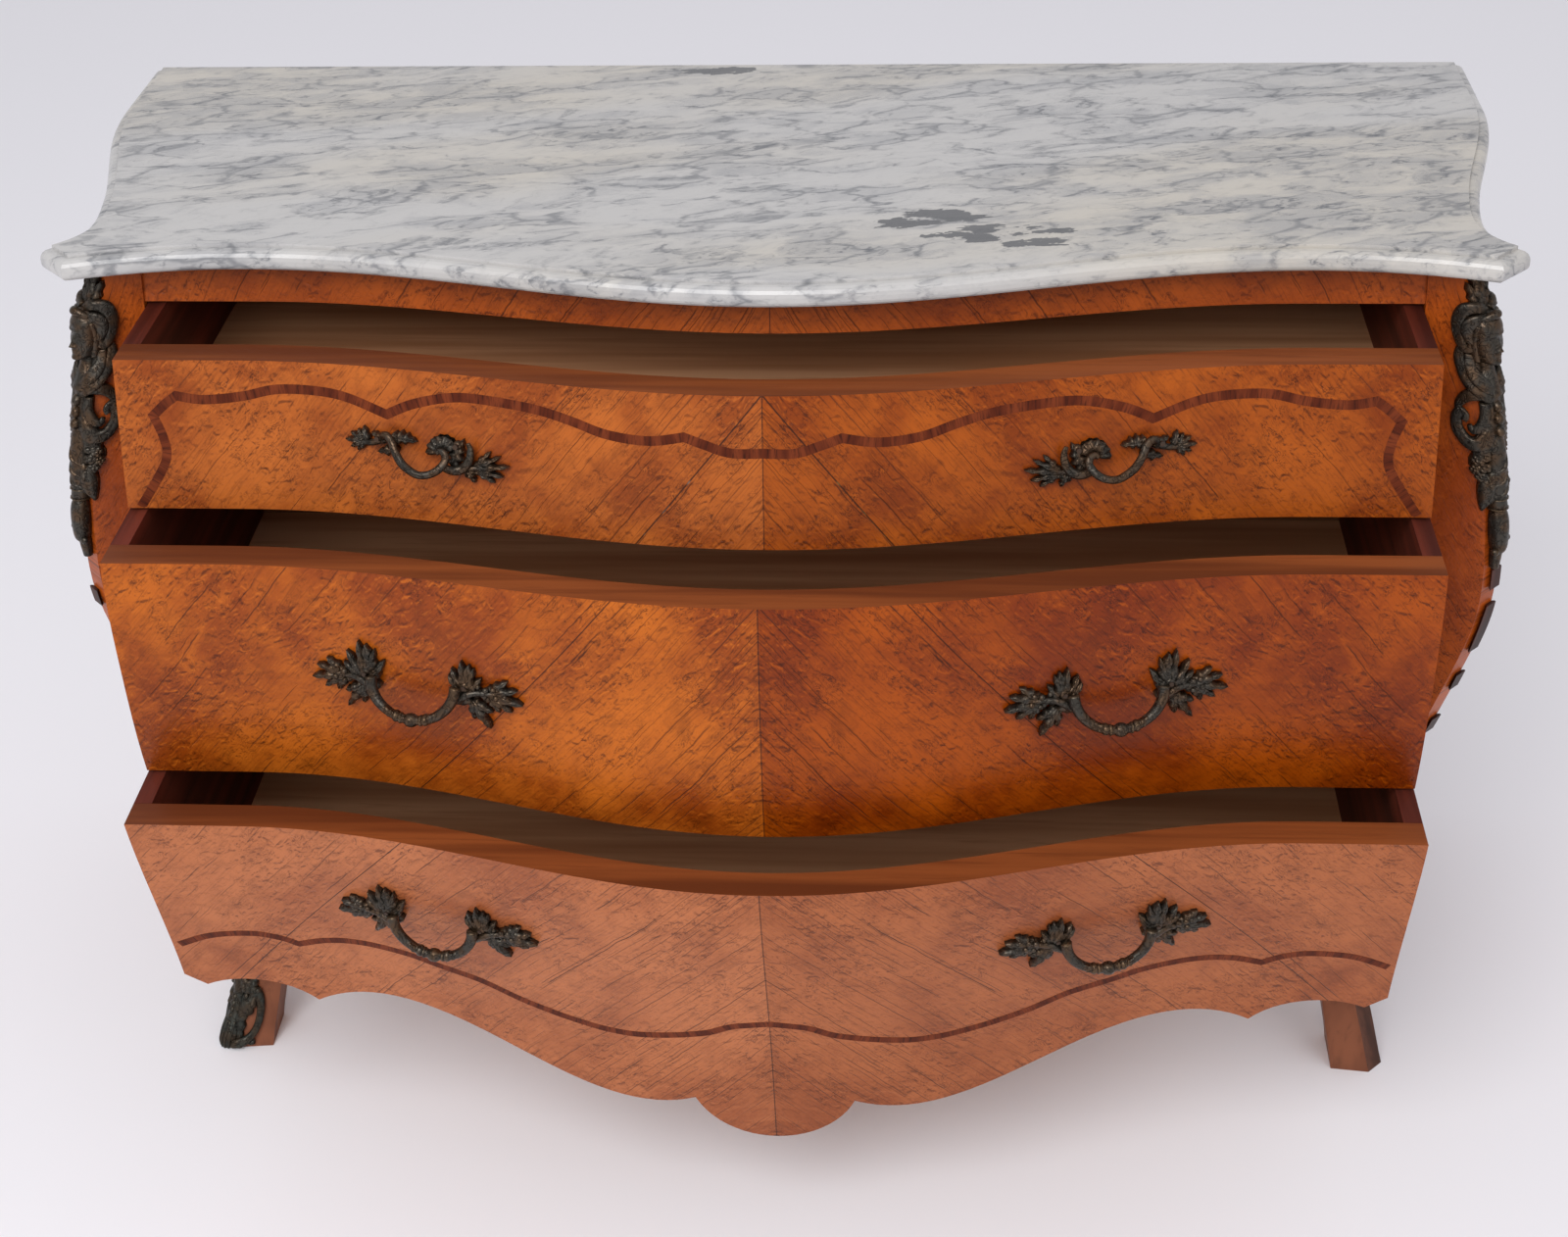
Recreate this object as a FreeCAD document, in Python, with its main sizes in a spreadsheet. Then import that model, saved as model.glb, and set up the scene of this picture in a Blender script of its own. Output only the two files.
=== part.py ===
import FreeCAD, Part
import math
import os

# Bombe chest of three drawers with a marble slab, in millimetres.
# X runs to the right, Y to the back and Z up. The origin lies on the floor under the
# middle of the chest as it stands here, with its three drawers pulled out in steps.
# A depth is measured forward from the back edge of the slab, a half width from the middle.

doc = FreeCAD.newDocument("bombe_chest")
sheet = doc.addObject("Spreadsheet::Sheet", "Sizes")

DRIVING_SIZES = [
    ("overall_height", 860, "floor to the top of the slab"),
    ("drawer_half", 523, "half width of a drawer front"),
    ("end_clearance", 1.5, "between a drawer end and its post"),
    ("reveal", 3, "between one drawer front and the next"),
    ("slide_gap", 0.3, "between a drawer side and its runner"),
    ("seat_gap", 0.3, "between a curved piece and its curved seat"),
    ("slab_thick", 20, "marble slab"),
    ("slab_lip", 3, "height of the raised table of the slab"),
    ("slab_inset", 10, "moulding width around the raised table"),
    ("slab_nose", 8, "upper rounding of the moulding"),
    ("slab_under", 5, "lower rounding of the moulding"),
    ("slab_overhang", 35, "slab in front of the frieze rail"),
    ("slab_bulge", 11, "extra bulge of the slab at its middle"),
    ("slab_ear_side", 35, "slab ear beside the corner arris"),
    ("slab_ear_front", 40, "slab ear in front of the corner arris"),
    ("slab_ear_cant", 25, "cut corner of the slab ear"),
    ("slab_side_overhang", 22, "slab beside the side panels"),
    ("rail_height", 39, "frieze rail"),
    ("top_height", 120, "top drawer front"),
    ("middle_height", 208, "middle drawer front"),
    ("bottom_height", 211, "bottom drawer front at its ends"),
    ("top_opening", 100, "top drawer pulled out by"),
    ("middle_opening", 180, "middle drawer pulled out by"),
    ("bottom_opening", 250, "bottom drawer pulled out by"),
    ("front_thick", 28, "drawer fronts and frieze rail"),
    ("serpentine_half", 430, "half width of the bulge of the front"),
    ("depth_rail", 377, "front recess at the slab"),
    ("depth_upper", 416, "front recess under the top drawer"),
    ("depth_belly", 421, "front recess at the belly"),
    ("depth_lower", 410, "front recess under the middle drawer"),
    ("depth_foot", 353, "front recess under the bottom drawer"),
    ("depth_apron", 337, "front recess at the apron drop"),
    ("belly_rise", 133, "belly of the front above the middle drawer's lower edge"),
    ("bulge_upper", 57, "bulge of the top drawer"),
    ("bulge_lower", 76, "bulge of the bottom drawer"),
    ("bulge_apron", 72, "bulge at the apron drop"),
    ("apron_drop", 125, "middle lobe of the apron below the drawer ends"),
    ("apron_low", 90, "low shoulders of the apron below the drawer ends"),
    ("apron_cusp", 32, "side cusps of the apron below the drawer ends"),
    ("apron_notch", 14, "corner notches of the apron below the drawer ends"),
    ("notch_half", 505, "half distance of the corner notches"),
    ("cusp_half", 408, "half distance of the side cusps"),
    ("shoulder_half", 112, "half distance of the low shoulders"),
    ("lobe_half", 69, "half width of the middle lobe"),
    ("lobe_rise", 12, "lobe corners above the low shoulders"),
    ("arch_run", 53, "side arch of the apron from its cusp"),
    ("arch_rise", 17, "side arches of the apron above their cusps"),
    ("post_top", 37, "post width at the slab"),
    ("post_upper", 68, "post width under the top drawer"),
    ("post_belly", 81, "post width at the belly of the sides"),
    ("post_lower", 68, "post width under the middle drawer"),
    ("post_foot", 27, "post width under the bottom drawer"),
    ("post_ankle", 22, "leg beyond the post's inner face at the ankle"),
    ("post_toe", 48, "leg beyond the post's inner face at the floor"),
    ("side_belly_rise", 82, "belly of the sides above the middle drawer's lower edge"),
    ("post_cant", 14, "cut corner of the front posts"),
    ("post_ear", 17, "corner arris in front of the drawer ends"),
    ("post_lap", 25, "front posts behind the drawer fronts"),
    ("post_scoop", 12, "hollow of the side behind the corner arris"),
    ("scoop_back", 36, "hollow of the side from the corner arris"),
    ("leg_setdown", 28, "leg starts below the bottom drawer's ends by"),
    ("ankle_height", 120, "narrowest place of the legs"),
    ("ankle_inset", 18, "ankle inside the post's inner face"),
    ("ankle_ear", 7, "relief of the arris at the ankle"),
    ("toe_ear", 4, "relief of the arris at the floor"),
    ("toe_inset", 2, "foot inside the post's inner face"),
    ("ankle_depth", 54, "leg from front to back at the ankle"),
    ("toe_depth", 50, "leg from front to back at the floor"),
    ("ankle_reach", 26, "ankle in front of the lowest drawer ends"),
    ("toe_reach", 76, "foot in front of the lowest drawer ends"),
    ("flare_top", 45, "side panel wider at the back, at the slab"),
    ("flare_belly", 22, "side panel wider at the back, at the belly"),
    ("flare_foot", 25, "side panel wider at the back, at the legs"),
    ("flare_depth", 97, "depth where the sides are widest"),
    ("panel_thick", 16, "side panels"),
    ("panel_arch", 26, "arch of the lower edge of the side panels"),
    ("case_back", 10, "case inside the back edge of the slab"),
    ("back_thick", 8, "back panel"),
    ("back_post_depth", 45, "back posts from front to back"),
    ("back_rail_thick", 22, "top back rail"),
    ("board_thick", 12, "bottom board"),
    ("runner_width", 27, "runners and kickers"),
    ("runner_height", 18, "runners"),
    ("kicker_height", 20, "kickers above the top drawer"),
    ("runner_clear", 3, "runner behind a closed drawer front"),
    ("drawer_side_thick", 15, "drawer sides"),
    ("drawer_back_thick", 12, "drawer backs"),
    ("drawer_back_drop", 12, "drawer back lower than the sides"),
    ("drawer_tail", 12, "closed drawer in front of the back panel"),
    ("drawer_bottom_thick", 6, "drawer bottoms"),
    ("bottom_lift", 8, "drawer bottom above the lower edge of the sides"),
    ("groove_depth", 6, "grooves for the drawer bottoms"),
    ("pull_half", 274, "pulls from the middle of the chest"),
    ("top_pull_drop", 54, "top pulls below the top edge of their drawer"),
    ("middle_pull_drop", 86, "middle pulls below the top edge of their drawer"),
    ("bottom_pull_drop", 86, "bottom pulls below the top edge of their drawer"),
    ("spray_bolt_half", 42, "half distance of the bolts of a leaf pull"),
    ("spray_leaf_long", 33, "half length of a leaf spray"),
    ("spray_leaf_tall", 26, "half height of a leaf spray"),
    ("spray_drop", 38, "bail of a leaf pull below its bolts"),
    ("scroll_bolt_half", 33, "half distance of the bolts of a scroll pull"),
    ("scroll_leaf_long", 23, "half length of a scroll leaf"),
    ("scroll_leaf_tall", 15, "half height of a scroll leaf"),
    ("scroll_drop", 28, "bail of a scroll pull below its bolts"),
    ("plate_thick", 5, "cast leaves"),
    ("boss_radius", 6.5, "bosses that take the bolts"),
    ("boss_reach", 16, "bosses in front of the drawer"),
    ("bail_radius", 4.2, "bail"),
    ("bail_reach", 14, "bail in front of its bosses"),
    ("knop_radius", 7, "knop in the middle of a bail"),
    ("screw_radius", 2, "pull screws"),
    ("screw_clear", 0.2, "around a screw in its hole"),
    ("screw_bite", 12, "screw inside a boss"),
    ("head_radius", 4.5, "screw heads"),
    ("head_thick", 3, "screw heads"),
    ("sink_radius", 6.5, "sinking for a screw head"),
    ("sink_seat", 21, "seat of a screw head behind the outer face"),
    ("mount_top_gap", 3, "corner mount below the slab"),
    ("mount_height", 256, "corner mount"),
    ("mount_thick", 9, "corner mount"),
    ("pin_radius", 1.1, "pins of the mounts"),
    ("pin_length", 26, "pins of the mounts"),
    ("pin_clear", 0.1, "around a pin in its bore"),
    ("sabot_height", 84, "sabot"),
    ("sabot_thick", 5, "sabot"),
    ("bead_thick", 3, "edging strip on the outer edge of the cut corner"),
    ("bead_face", 6, "edging strip across the cut corner"),
]


def write_sizes(rows, first_row):
    """Put named numbers into the sheet, one to a row."""
    for offset, (alias, number, note) in enumerate(rows):
        row = first_row + offset
        sheet.set("A%d" % row, note)
        sheet.set("B%d" % row, "%.6f" % number)
        sheet.setAlias("B%d" % row, alias)
    doc.recompute()


def size(alias):
    """Read a named number from the sheet."""
    return float(sheet.get(alias))


def smooth_curve(points):
    """Give the function whose smooth curve passes through (place, value) points."""
    knots = sorted(points)
    last = len(knots) - 1

    def slope(index):
        before = knots[max(index - 1, 0)]
        after = knots[min(index + 1, last)]
        return (after[1] - before[1]) / (after[0] - before[0])

    def value(place):
        index = 0
        while index < last - 1 and place > knots[index + 1][0]:
            index += 1
        start = knots[index]
        end = knots[index + 1]
        span = end[0] - start[0]
        t = (place - start[0]) / span
        rise = end[1] - start[1]
        lead_in = slope(index) * span
        lead_out = slope(index + 1) * span
        bend = t * (1 - t) * ((1 - t) * (lead_in - rise) - t * (lead_out - rise))
        return start[1] + rise * t + bend

    return value


write_sizes(DRIVING_SIZES, 1)

# Levels, from the slab down to the legs.
slab_low = size("overall_height") - size("slab_thick")
rail_low = slab_low - size("rail_height")
top_high = rail_low - size("reveal")
top_low = top_high - size("top_height")
middle_high = top_low - size("reveal")
middle_low = middle_high - size("middle_height")
bottom_high = middle_low - size("reveal")
bottom_low = bottom_high - size("bottom_height")
apron_bottom = bottom_low - size("apron_drop")
leg_top = bottom_low - size("leg_setdown")
belly_level = middle_low + size("belly_rise")
side_belly_level = middle_low + size("side_belly_rise")

# Form of the front: a recess depth and a bulge at every level.
front_depth = smooth_curve([
    (slab_low, size("depth_rail")), (top_low, size("depth_upper")), (belly_level, size("depth_belly")),
    (middle_low, size("depth_lower")), (bottom_low, size("depth_foot")),
    (apron_bottom, size("depth_apron"))])
front_bulge = smooth_curve([
    (slab_low, size("bulge_upper")), (top_low, size("bulge_upper")), (middle_low, size("bulge_lower")),
    (bottom_low, size("bulge_lower")), (apron_bottom, size("bulge_apron"))])
back_plane = (front_depth(bottom_high) + front_bulge(bottom_high) + size("bottom_opening")) / 2
post_inner = size("drawer_half") + size("end_clearance")
post_back_depth = size("depth_foot") - size("front_thick") - size("post_lap")
back_post_front = size("case_back") + size("back_post_depth")
back_panel_front = size("case_back") + size("back_thick")
drawer_rear = back_panel_front + size("drawer_tail")


def swell(x):
    """Share of the bulge at a distance from the middle: one there, none beyond its half width."""
    reach = min(abs(x) / size("serpentine_half"), 1)
    return 0.5 + 0.5 * math.cos(math.pi * reach)


def front_y(x, z):
    """Y of the outer face of the closed front."""
    return back_plane - front_depth(z) - front_bulge(z) * swell(x)


def runner_front(level):
    """Y of the front end of the runners whose lower face lies at a level."""
    faces = [front_y(post_inner, level + part * size("runner_height")) for part in (0, 0.5, 1)]
    return max(faces) + size("front_thick") + size("runner_clear")


WORKED_OUT_SIZES = [
    ("slab_low", slab_low, "lower face of the slab"),
    ("rail_low", rail_low, "lower edge of the frieze rail"),
    ("top_high", top_high, "top drawer, upper edge"),
    ("top_low", top_low, "top drawer, lower edge"),
    ("middle_high", middle_high, "middle drawer, upper edge"),
    ("middle_low", middle_low, "middle drawer, lower edge"),
    ("bottom_high", bottom_high, "bottom drawer, upper edge"),
    ("bottom_low", bottom_low, "bottom drawer, lower edge at its ends"),
    ("back_plane", back_plane, "back edge of the slab"),
    ("post_inner", post_inner, "inner faces of the posts"),
    ("post_back", back_plane - post_back_depth, "back faces of the front posts"),
    ("back_post_face", back_plane - back_post_front, "front faces of the back posts"),
    ("back_face", back_plane - back_panel_front, "front face of the back panel"),
    ("drawer_end", back_plane - drawer_rear, "rear ends of the closed drawers"),
    ("front_limit", back_plane - 2 * size("depth_belly"), "plane well in front of the chest"),
    ("kicker_front", runner_front(top_high), "front ends of the kickers"),
    ("top_runner_front", runner_front(top_low), "front ends of the top runners"),
    ("middle_runner_front", runner_front(middle_low), "front ends of the middle runners"),
    ("bottom_runner_front", runner_front(bottom_low), "front ends of the bottom runners"),
    ("board_front", runner_front(bottom_low - size("board_thick")), "front edge of the bottom board"),
]
write_sizes(WORKED_OUT_SIZES, len(DRIVING_SIZES) + 2)

nodes = []
SIDES = (("left", -1), ("right", 1))


def node(part, label):
    """Name a finished sub-part."""
    part.Label = label
    nodes.append(part)
    return part


def cell(alias):
    return "Sizes." + alias


def box(name, low, high):
    """Box between two corners given as expressions of the sheet."""
    part = doc.addObject("Part::Box", name)
    for axis, length, start, end in zip("xyz", ("Length", "Width", "Height"), low, high):
        part.setExpression(length, "(%s) - (%s)" % (end, start))
        part.setExpression("Placement.Base." + axis, start)
    return part


def sided(sign, near, far):
    """Lowest and highest X of a piece between two half widths, on one side of the chest."""
    if sign > 0:
        return near, far
    return "-(%s)" % far, "-(%s)" % near


def common(name, base, tool):
    part = doc.addObject("Part::Common", name)
    part.Base = base
    part.Tool = tool
    return part


def cut(name, base, tool):
    part = doc.addObject("Part::Cut", name)
    part.Base = base
    part.Tool = tool
    return part


def form(name, shape):
    """Document object of a shape that is worked out from formulas."""
    part = doc.addObject("Part::Feature", name)
    part.Shape = shape
    return part


def curved_face(place, across, along):
    """Smooth face through the places of a grid."""
    surface = Part.BSplineSurface()
    surface.interpolate([[place(u, v) for v in along] for u in across])
    return surface.toShape()


def steps(start, end, count):
    return [start + (end - start) * index / count for index in range(count + 1)]


def prism(wire, direction):
    return Part.Face(wire).extrude(direction)


def polyline(points):
    return Part.makePolygon(points + points[:1])


def spline_edge(points):
    curve = Part.BSplineCurve()
    curve.interpolate(points)
    return curve.toShape()


# Solids of the bombe front: the skin that fronts are cut from, the space behind it that the
# drawer boxes are scribed to, the groove for their bottoms and the layer that holds cast leaves.
FRONT_COLUMNS = 30
FRONT_ROWS = 18
FRONT_MARGIN = 30


def front_face(offset):
    half = size("drawer_half") + FRONT_MARGIN
    columns = steps(-half, half, FRONT_COLUMNS)
    rows = steps(apron_bottom - FRONT_MARGIN, slab_low + FRONT_MARGIN, FRONT_ROWS)
    return curved_face(lambda x, z: FreeCAD.Vector(x, front_y(x, z) + offset, z), columns, rows)


def front_layer(start, thick):
    return front_face(start).extrude(FreeCAD.Vector(0, thick, 0))


front_thick = size("front_thick")
groove_depth = size("groove_depth")
seat_gap = size("seat_gap")
scribe = front_thick + seat_gap
far_back = 2 * size("depth_belly")
front_skin = form("front_skin", front_layer(0, front_thick))
behind_front = form("behind_front", front_layer(scribe, far_back))
bottom_reach = form("bottom_reach", front_layer(scribe - groove_depth, far_back))
groove_reach = form("groove_reach", front_layer(front_thick - groove_depth, 2 * groove_depth))
leaf_layer = front_layer(-seat_gap - size("plate_thick"), size("plate_thick"))

# Marble slab: a raised table on a rounded moulding that follows the case with its overhang.
arris_width = smooth_curve([
    (slab_low, size("post_top")), (top_low, size("post_upper")), (side_belly_level, size("post_belly")),
    (middle_low, size("post_lower")), (bottom_low, size("post_foot")),
    (size("ankle_height"), size("post_ankle")), (0, size("post_toe"))])
arris_depth = smooth_curve([
    (slab_low, size("depth_rail") + size("post_ear")), (top_low, size("depth_upper") + size("post_ear")),
    (belly_level, size("depth_belly") + size("post_ear")),
    (middle_low, size("depth_lower") + size("post_ear")),
    (bottom_low, size("depth_foot") + size("post_ear")),
    (size("ankle_height"), size("depth_foot") + size("ankle_reach")),
    (0, size("depth_foot") + size("toe_reach"))])
side_flare = smooth_curve([
    (slab_low, size("flare_top")), (side_belly_level, size("flare_belly")),
    (size("ankle_height"), size("flare_foot")), (0, size("flare_foot"))])


def arris_x(z):
    return post_inner + arris_width(z)


def scoop_depth(z):
    return arris_depth(z) - size("scoop_back")


def side_x(depth, z):
    """Half width of the outer face of the sides at a depth and a level."""
    span = scoop_depth(z) - size("flare_depth")
    share = min(max((scoop_depth(z) - depth) / span, 0), 1)
    return arris_x(z) - size("post_scoop") + side_flare(z) * (0.5 - 0.5 * math.cos(math.pi * share))


SLAB_FRONT_POINTS = 22
SLAB_SIDE_POINTS = 9
SLAB_ROUND_STEPS = 4


def slab_outline(inset, level):
    """Closed plan of the slab, drawn in by an inset except along its back edge."""
    tip_x = arris_x(slab_low) + size("slab_ear_side") - inset
    ear_depth = arris_depth(slab_low) + size("slab_ear_front") - inset
    cant = size("slab_ear_cant") - inset * (2 - math.sqrt(2))
    ear = FreeCAD.Vector(tip_x - cant, back_plane - ear_depth, level)
    tip = FreeCAD.Vector(tip_x, back_plane - ear_depth + cant, level)
    recess = size("depth_rail") + size("slab_overhang") - inset
    bulge = size("bulge_upper") + size("slab_bulge")

    def front_point(x):
        beyond = max(abs(x) - size("serpentine_half"), 0) / (ear.x - size("serpentine_half"))
        depth = recess + bulge * swell(x) + (ear_depth - recess) * beyond ** 2
        return FreeCAD.Vector(x, back_plane - depth, level)

    def side_point(depth, sign):
        half = side_x(depth, slab_low) + size("slab_side_overhang") - inset
        return FreeCAD.Vector(sign * half, back_plane - depth, level)

    edges = [spline_edge([front_point(x) for x in steps(-ear.x, ear.x, SLAB_FRONT_POINTS)])]
    corners = []
    for sign in (1, -1):
        mirrored_ear = FreeCAD.Vector(sign * ear.x, ear.y, level)
        mirrored_tip = FreeCAD.Vector(sign * tip.x, tip.y, level)
        flank = [mirrored_tip]
        flank += [side_point(depth, sign) for depth in steps(scoop_depth(slab_low), 0, SLAB_SIDE_POINTS)]
        edges.append(Part.makeLine(mirrored_ear, mirrored_tip))
        edges.append(spline_edge(flank))
        corners.append(flank[-1])
    edges.append(Part.makeLine(corners[0], corners[1]))
    return Part.Wire(Part.__sortEdges__(edges))


def slab_shape():
    """Raised table on a moulding whose upper and lower edges are rounded in short steps."""
    lip = size("slab_lip")
    thick = size("slab_thick")
    under = size("slab_under")
    nose = size("slab_nose")
    shoulder = slab_low + thick - lip
    turns = steps(0, math.pi / 2, SLAB_ROUND_STEPS)
    profile = [(under * (1 - math.sin(turn)), slab_low + under * (1 - math.cos(turn))) for turn in turns]
    profile += [(nose * (1 - math.cos(turn)), shoulder - nose * (1 - math.sin(turn))) for turn in turns]
    moulding = Part.makeLoft([slab_outline(inset, level) for inset, level in profile], True, True)
    table = prism(slab_outline(size("slab_inset"), shoulder - lip), FreeCAD.Vector(0, 0, 2 * lip))
    return moulding.fuse(table).removeSplitter()


node(form("slab", slab_shape()), "marble_top")

# Front corner posts, each running down into a splayed leg.
POST_LEVELS = 10
LEG_LEVELS = 7
PANEL_ROWS = 14
PANEL_COLUMNS = 8
ankle_height = size("ankle_height")
leg_ear = smooth_curve([
    (0, size("toe_ear")), (ankle_height, size("ankle_ear")),
    (leg_top, arris_depth(leg_top) - front_depth(leg_top))])
leg_scoop = smooth_curve([
    (0, size("toe_ear")), (ankle_height, size("ankle_ear")), (leg_top, size("post_scoop"))])
leg_flank = smooth_curve([
    (0, size("toe_depth") / 2), (ankle_height, size("ankle_depth") / 2), (leg_top, size("scoop_back"))])
leg_rise = smooth_curve([
    (0, 0), (ankle_height, 0),
    (leg_top, side_x(post_back_depth, leg_top) - arris_x(leg_top) + size("post_scoop"))])
leg_inset = smooth_curve([(0, size("toe_inset")), (ankle_height, size("ankle_inset")), (leg_top, 0)])
leg_back = smooth_curve([
    (0, arris_depth(0) - size("toe_depth")),
    (ankle_height, arris_depth(ankle_height) - size("ankle_depth")), (leg_top, post_back_depth)])


def post_plan(z):
    """Inner face, front, back, hollow, its distance and the outer back of a post at a level."""
    return (post_inner, front_depth(z), post_back_depth, size("post_scoop"), size("scoop_back"),
            side_x(post_back_depth, z))


def leg_plan(z):
    """The same for the leg below the post."""
    return (post_inner - leg_inset(z), arris_depth(z) - leg_ear(z), leg_back(z), leg_scoop(z), leg_flank(z),
            arris_x(z) - leg_scoop(z) + leg_rise(z))


def corner_section(sign, z, grow, plan):
    """Section of a front post or leg at a level, grown outward by a layer."""
    inner, front, back, scoop, flank, outer_back = plan(z)
    arris = arris_x(z)
    depth = arris_depth(z)
    cant = size("post_cant")
    slant = grow * (math.sqrt(2) - 1)
    corners = [
        (inner, back), (inner, front + grow), (arris - cant + slant, depth + grow),
        (arris + grow, depth - cant + slant), (arris - scoop + grow, depth - flank),
        (outer_back + grow, back)]
    return polyline([FreeCAD.Vector(sign * x, back_plane - d, z) for x, d in corners])


def corner_solid(sign, low, high, count, grow, plan):
    sections = [corner_section(sign, z, grow, plan) for z in steps(low, high, count)]
    return Part.makeLoft(sections, True, False)


def post_solid(sign, grow):
    return corner_solid(sign, leg_top, slab_low, POST_LEVELS, grow, post_plan)


def leg_solid(sign, grow):
    return corner_solid(sign, 0, leg_top, LEG_LEVELS, grow, leg_plan)


def corner_layer(sign, solid, thick, low, high, widths, front_short=0):
    """Layer round the corner of a post or leg, as wide to both sides at each share of its height.

    It may stop short on the front face."""
    sections = []
    for share, width in widths:
        z = high - share * (high - low)
        edge = arris_x(z) + thick
        front = arris_depth(z) + thick
        inner = edge - width + front_short
        corners = [(inner, front + thick), (edge + thick, front + thick),
                   (edge + thick, front - width), (inner, front - width)]
        sections.append(polyline([FreeCAD.Vector(sign * x, back_plane - d, z) for x, d in corners]))
    envelope = Part.makeLoft(sections, True, True)
    return solid(sign, seat_gap + thick).common(envelope).cut(solid(sign, seat_gap))


def corner_pin(sign, z, thick, grow):
    """Pin through a layer into the cut corner, grown for its bore."""
    half_cant = size("post_cant") / 2
    outward = FreeCAD.Vector(sign, -1, 0).normalize()
    middle = FreeCAD.Vector(sign * (arris_x(z) - half_cant), back_plane - arris_depth(z) + half_cant, z)
    head = middle + outward * (seat_gap + thick)
    return Part.makeCylinder(size("pin_radius") + grow, size("pin_length"), head, outward * -1)


# Cast bronze on the corners: a mount under each slab ear and a sabot on the left foot.
MOUNT_WIDTHS = ((0, 26), (0.12, 26), (0.17, 44), (0.3, 44), (0.37, 32), (0.44, 50), (0.58, 50),
                (0.66, 38), (0.8, 32), (0.82, 24), (0.93, 23), (0.95, 20), (1, 19))
SABOT_WIDTHS = ((0, 24), (0.3, 27), (0.45, 36), (0.8, 42), (1, 52))
MOUNT_PIN_SHARES = (0.06, 0.88)
SABOT_PIN_SHARES = (0.2, 0.8)
mount_high = slab_low - size("mount_top_gap")
mount_low = mount_high - size("mount_height")
corner_pins = {sign: [] for name, sign in SIDES}
for name, sign in SIDES:
    for share in MOUNT_PIN_SHARES:
        level = mount_high - share * size("mount_height")
        corner_pins[sign].append((level, size("mount_thick")))
for share in SABOT_PIN_SHARES:
    corner_pins[-1].append((size("sabot_height") * (1 - share), size("sabot_thick")))


def pinned(shape, sign):
    """Bore a corner piece for the pins of its corner."""
    for level, thick in corner_pins[sign]:
        shape = shape.cut(corner_pin(sign, level, thick, size("pin_clear")))
    return shape


# Dark edging strip on the outer edge: the lengths that are left, as distances below the slab.
BEAD_LENGTHS = {"left": ((297, 313),), "right": ((262, 282), (299, 349), (377, 395), (435, 454))}

bead_width = size("post_cant") + size("bead_thick")
bead_short = size("post_cant") - size("bead_face")
for name, sign in SIDES:
    post = post_solid(sign, 0).fuse(leg_solid(sign, 0))
    node(form(name + "_post", pinned(post, sign)), "front_%s_post" % name)
    mount = corner_layer(sign, post_solid, size("mount_thick"), mount_low, mount_high, MOUNT_WIDTHS)
    node(form(name + "_mount", pinned(mount, sign)), "corner_mount_%s" % name)
    beads = []
    for start, end in BEAD_LENGTHS[name]:
        beads.append(corner_layer(sign, post_solid, size("bead_thick"), slab_low - end, slab_low - start,
                                  ((0, bead_width), (1, bead_width)), bead_short))
    node(form(name + "_beads", Part.makeCompound(beads)), "corner_edging_%s" % name)

sabot = corner_layer(-1, leg_solid, size("sabot_thick"), 0, size("sabot_height"), SABOT_WIDTHS)
node(form("sabot", pinned(sabot, -1)), "sabot_left")
pins = [corner_pin(sign, level, thick, 0) for sign in corner_pins for level, thick in corner_pins[sign]]
node(form("pins", Part.makeCompound(pins)), "mount_pins")

# Back posts with their legs, and the bombe side panels between the posts.


def back_section(sign, z, inset):
    plan = [(post_inner - inset, size("case_back")), (post_inner - inset, back_post_front),
            (side_x(back_post_front, z), back_post_front), (side_x(size("case_back"), z), size("case_back"))]
    return polyline([FreeCAD.Vector(sign * x, back_plane - d, z) for x, d in plan])


def back_post(sign):
    upper = [back_section(sign, z, 0) for z in steps(leg_top, slab_low, POST_LEVELS)]
    lower = [back_section(sign, z, leg_inset(z)) for z in steps(0, leg_top, LEG_LEVELS)]
    return Part.makeLoft(upper, True, False).fuse(Part.makeLoft(lower, True, False))


def side_panel(sign):
    depths = steps(post_back_depth, back_post_front, PANEL_COLUMNS)
    levels = steps(leg_top, slab_low, PANEL_ROWS)
    skin = curved_face(lambda d, z: FreeCAD.Vector(sign * side_x(d, z), back_plane - d, z), depths, levels)
    panel = skin.extrude(FreeCAD.Vector(-sign * size("panel_thick"), 0, 0))
    start = FreeCAD.Vector(0, back_plane - post_back_depth, leg_top)
    end = FreeCAD.Vector(0, back_plane - back_post_front, leg_top)
    crown = (start + end) * 0.5 + FreeCAD.Vector(0, 0, size("panel_arch"))
    arch = Part.Wire([Part.Arc(start, crown, end).toShape(), Part.makeLine(end, start)])
    panel = panel.cut(prism(arch, FreeCAD.Vector(sign * 2 * post_inner, 0, 0)))
    inside_corner = FreeCAD.Vector(-post_inner, -back_plane, 0)
    return panel.cut(Part.makeBox(2 * post_inner, 2 * back_plane, slab_low, inside_corner))


for name, sign in SIDES:
    node(form(name + "_back_post", back_post(sign)), "back_%s_post" % name)
    node(form(name + "_panel", side_panel(sign)), "%s_side_panel" % name)

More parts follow.
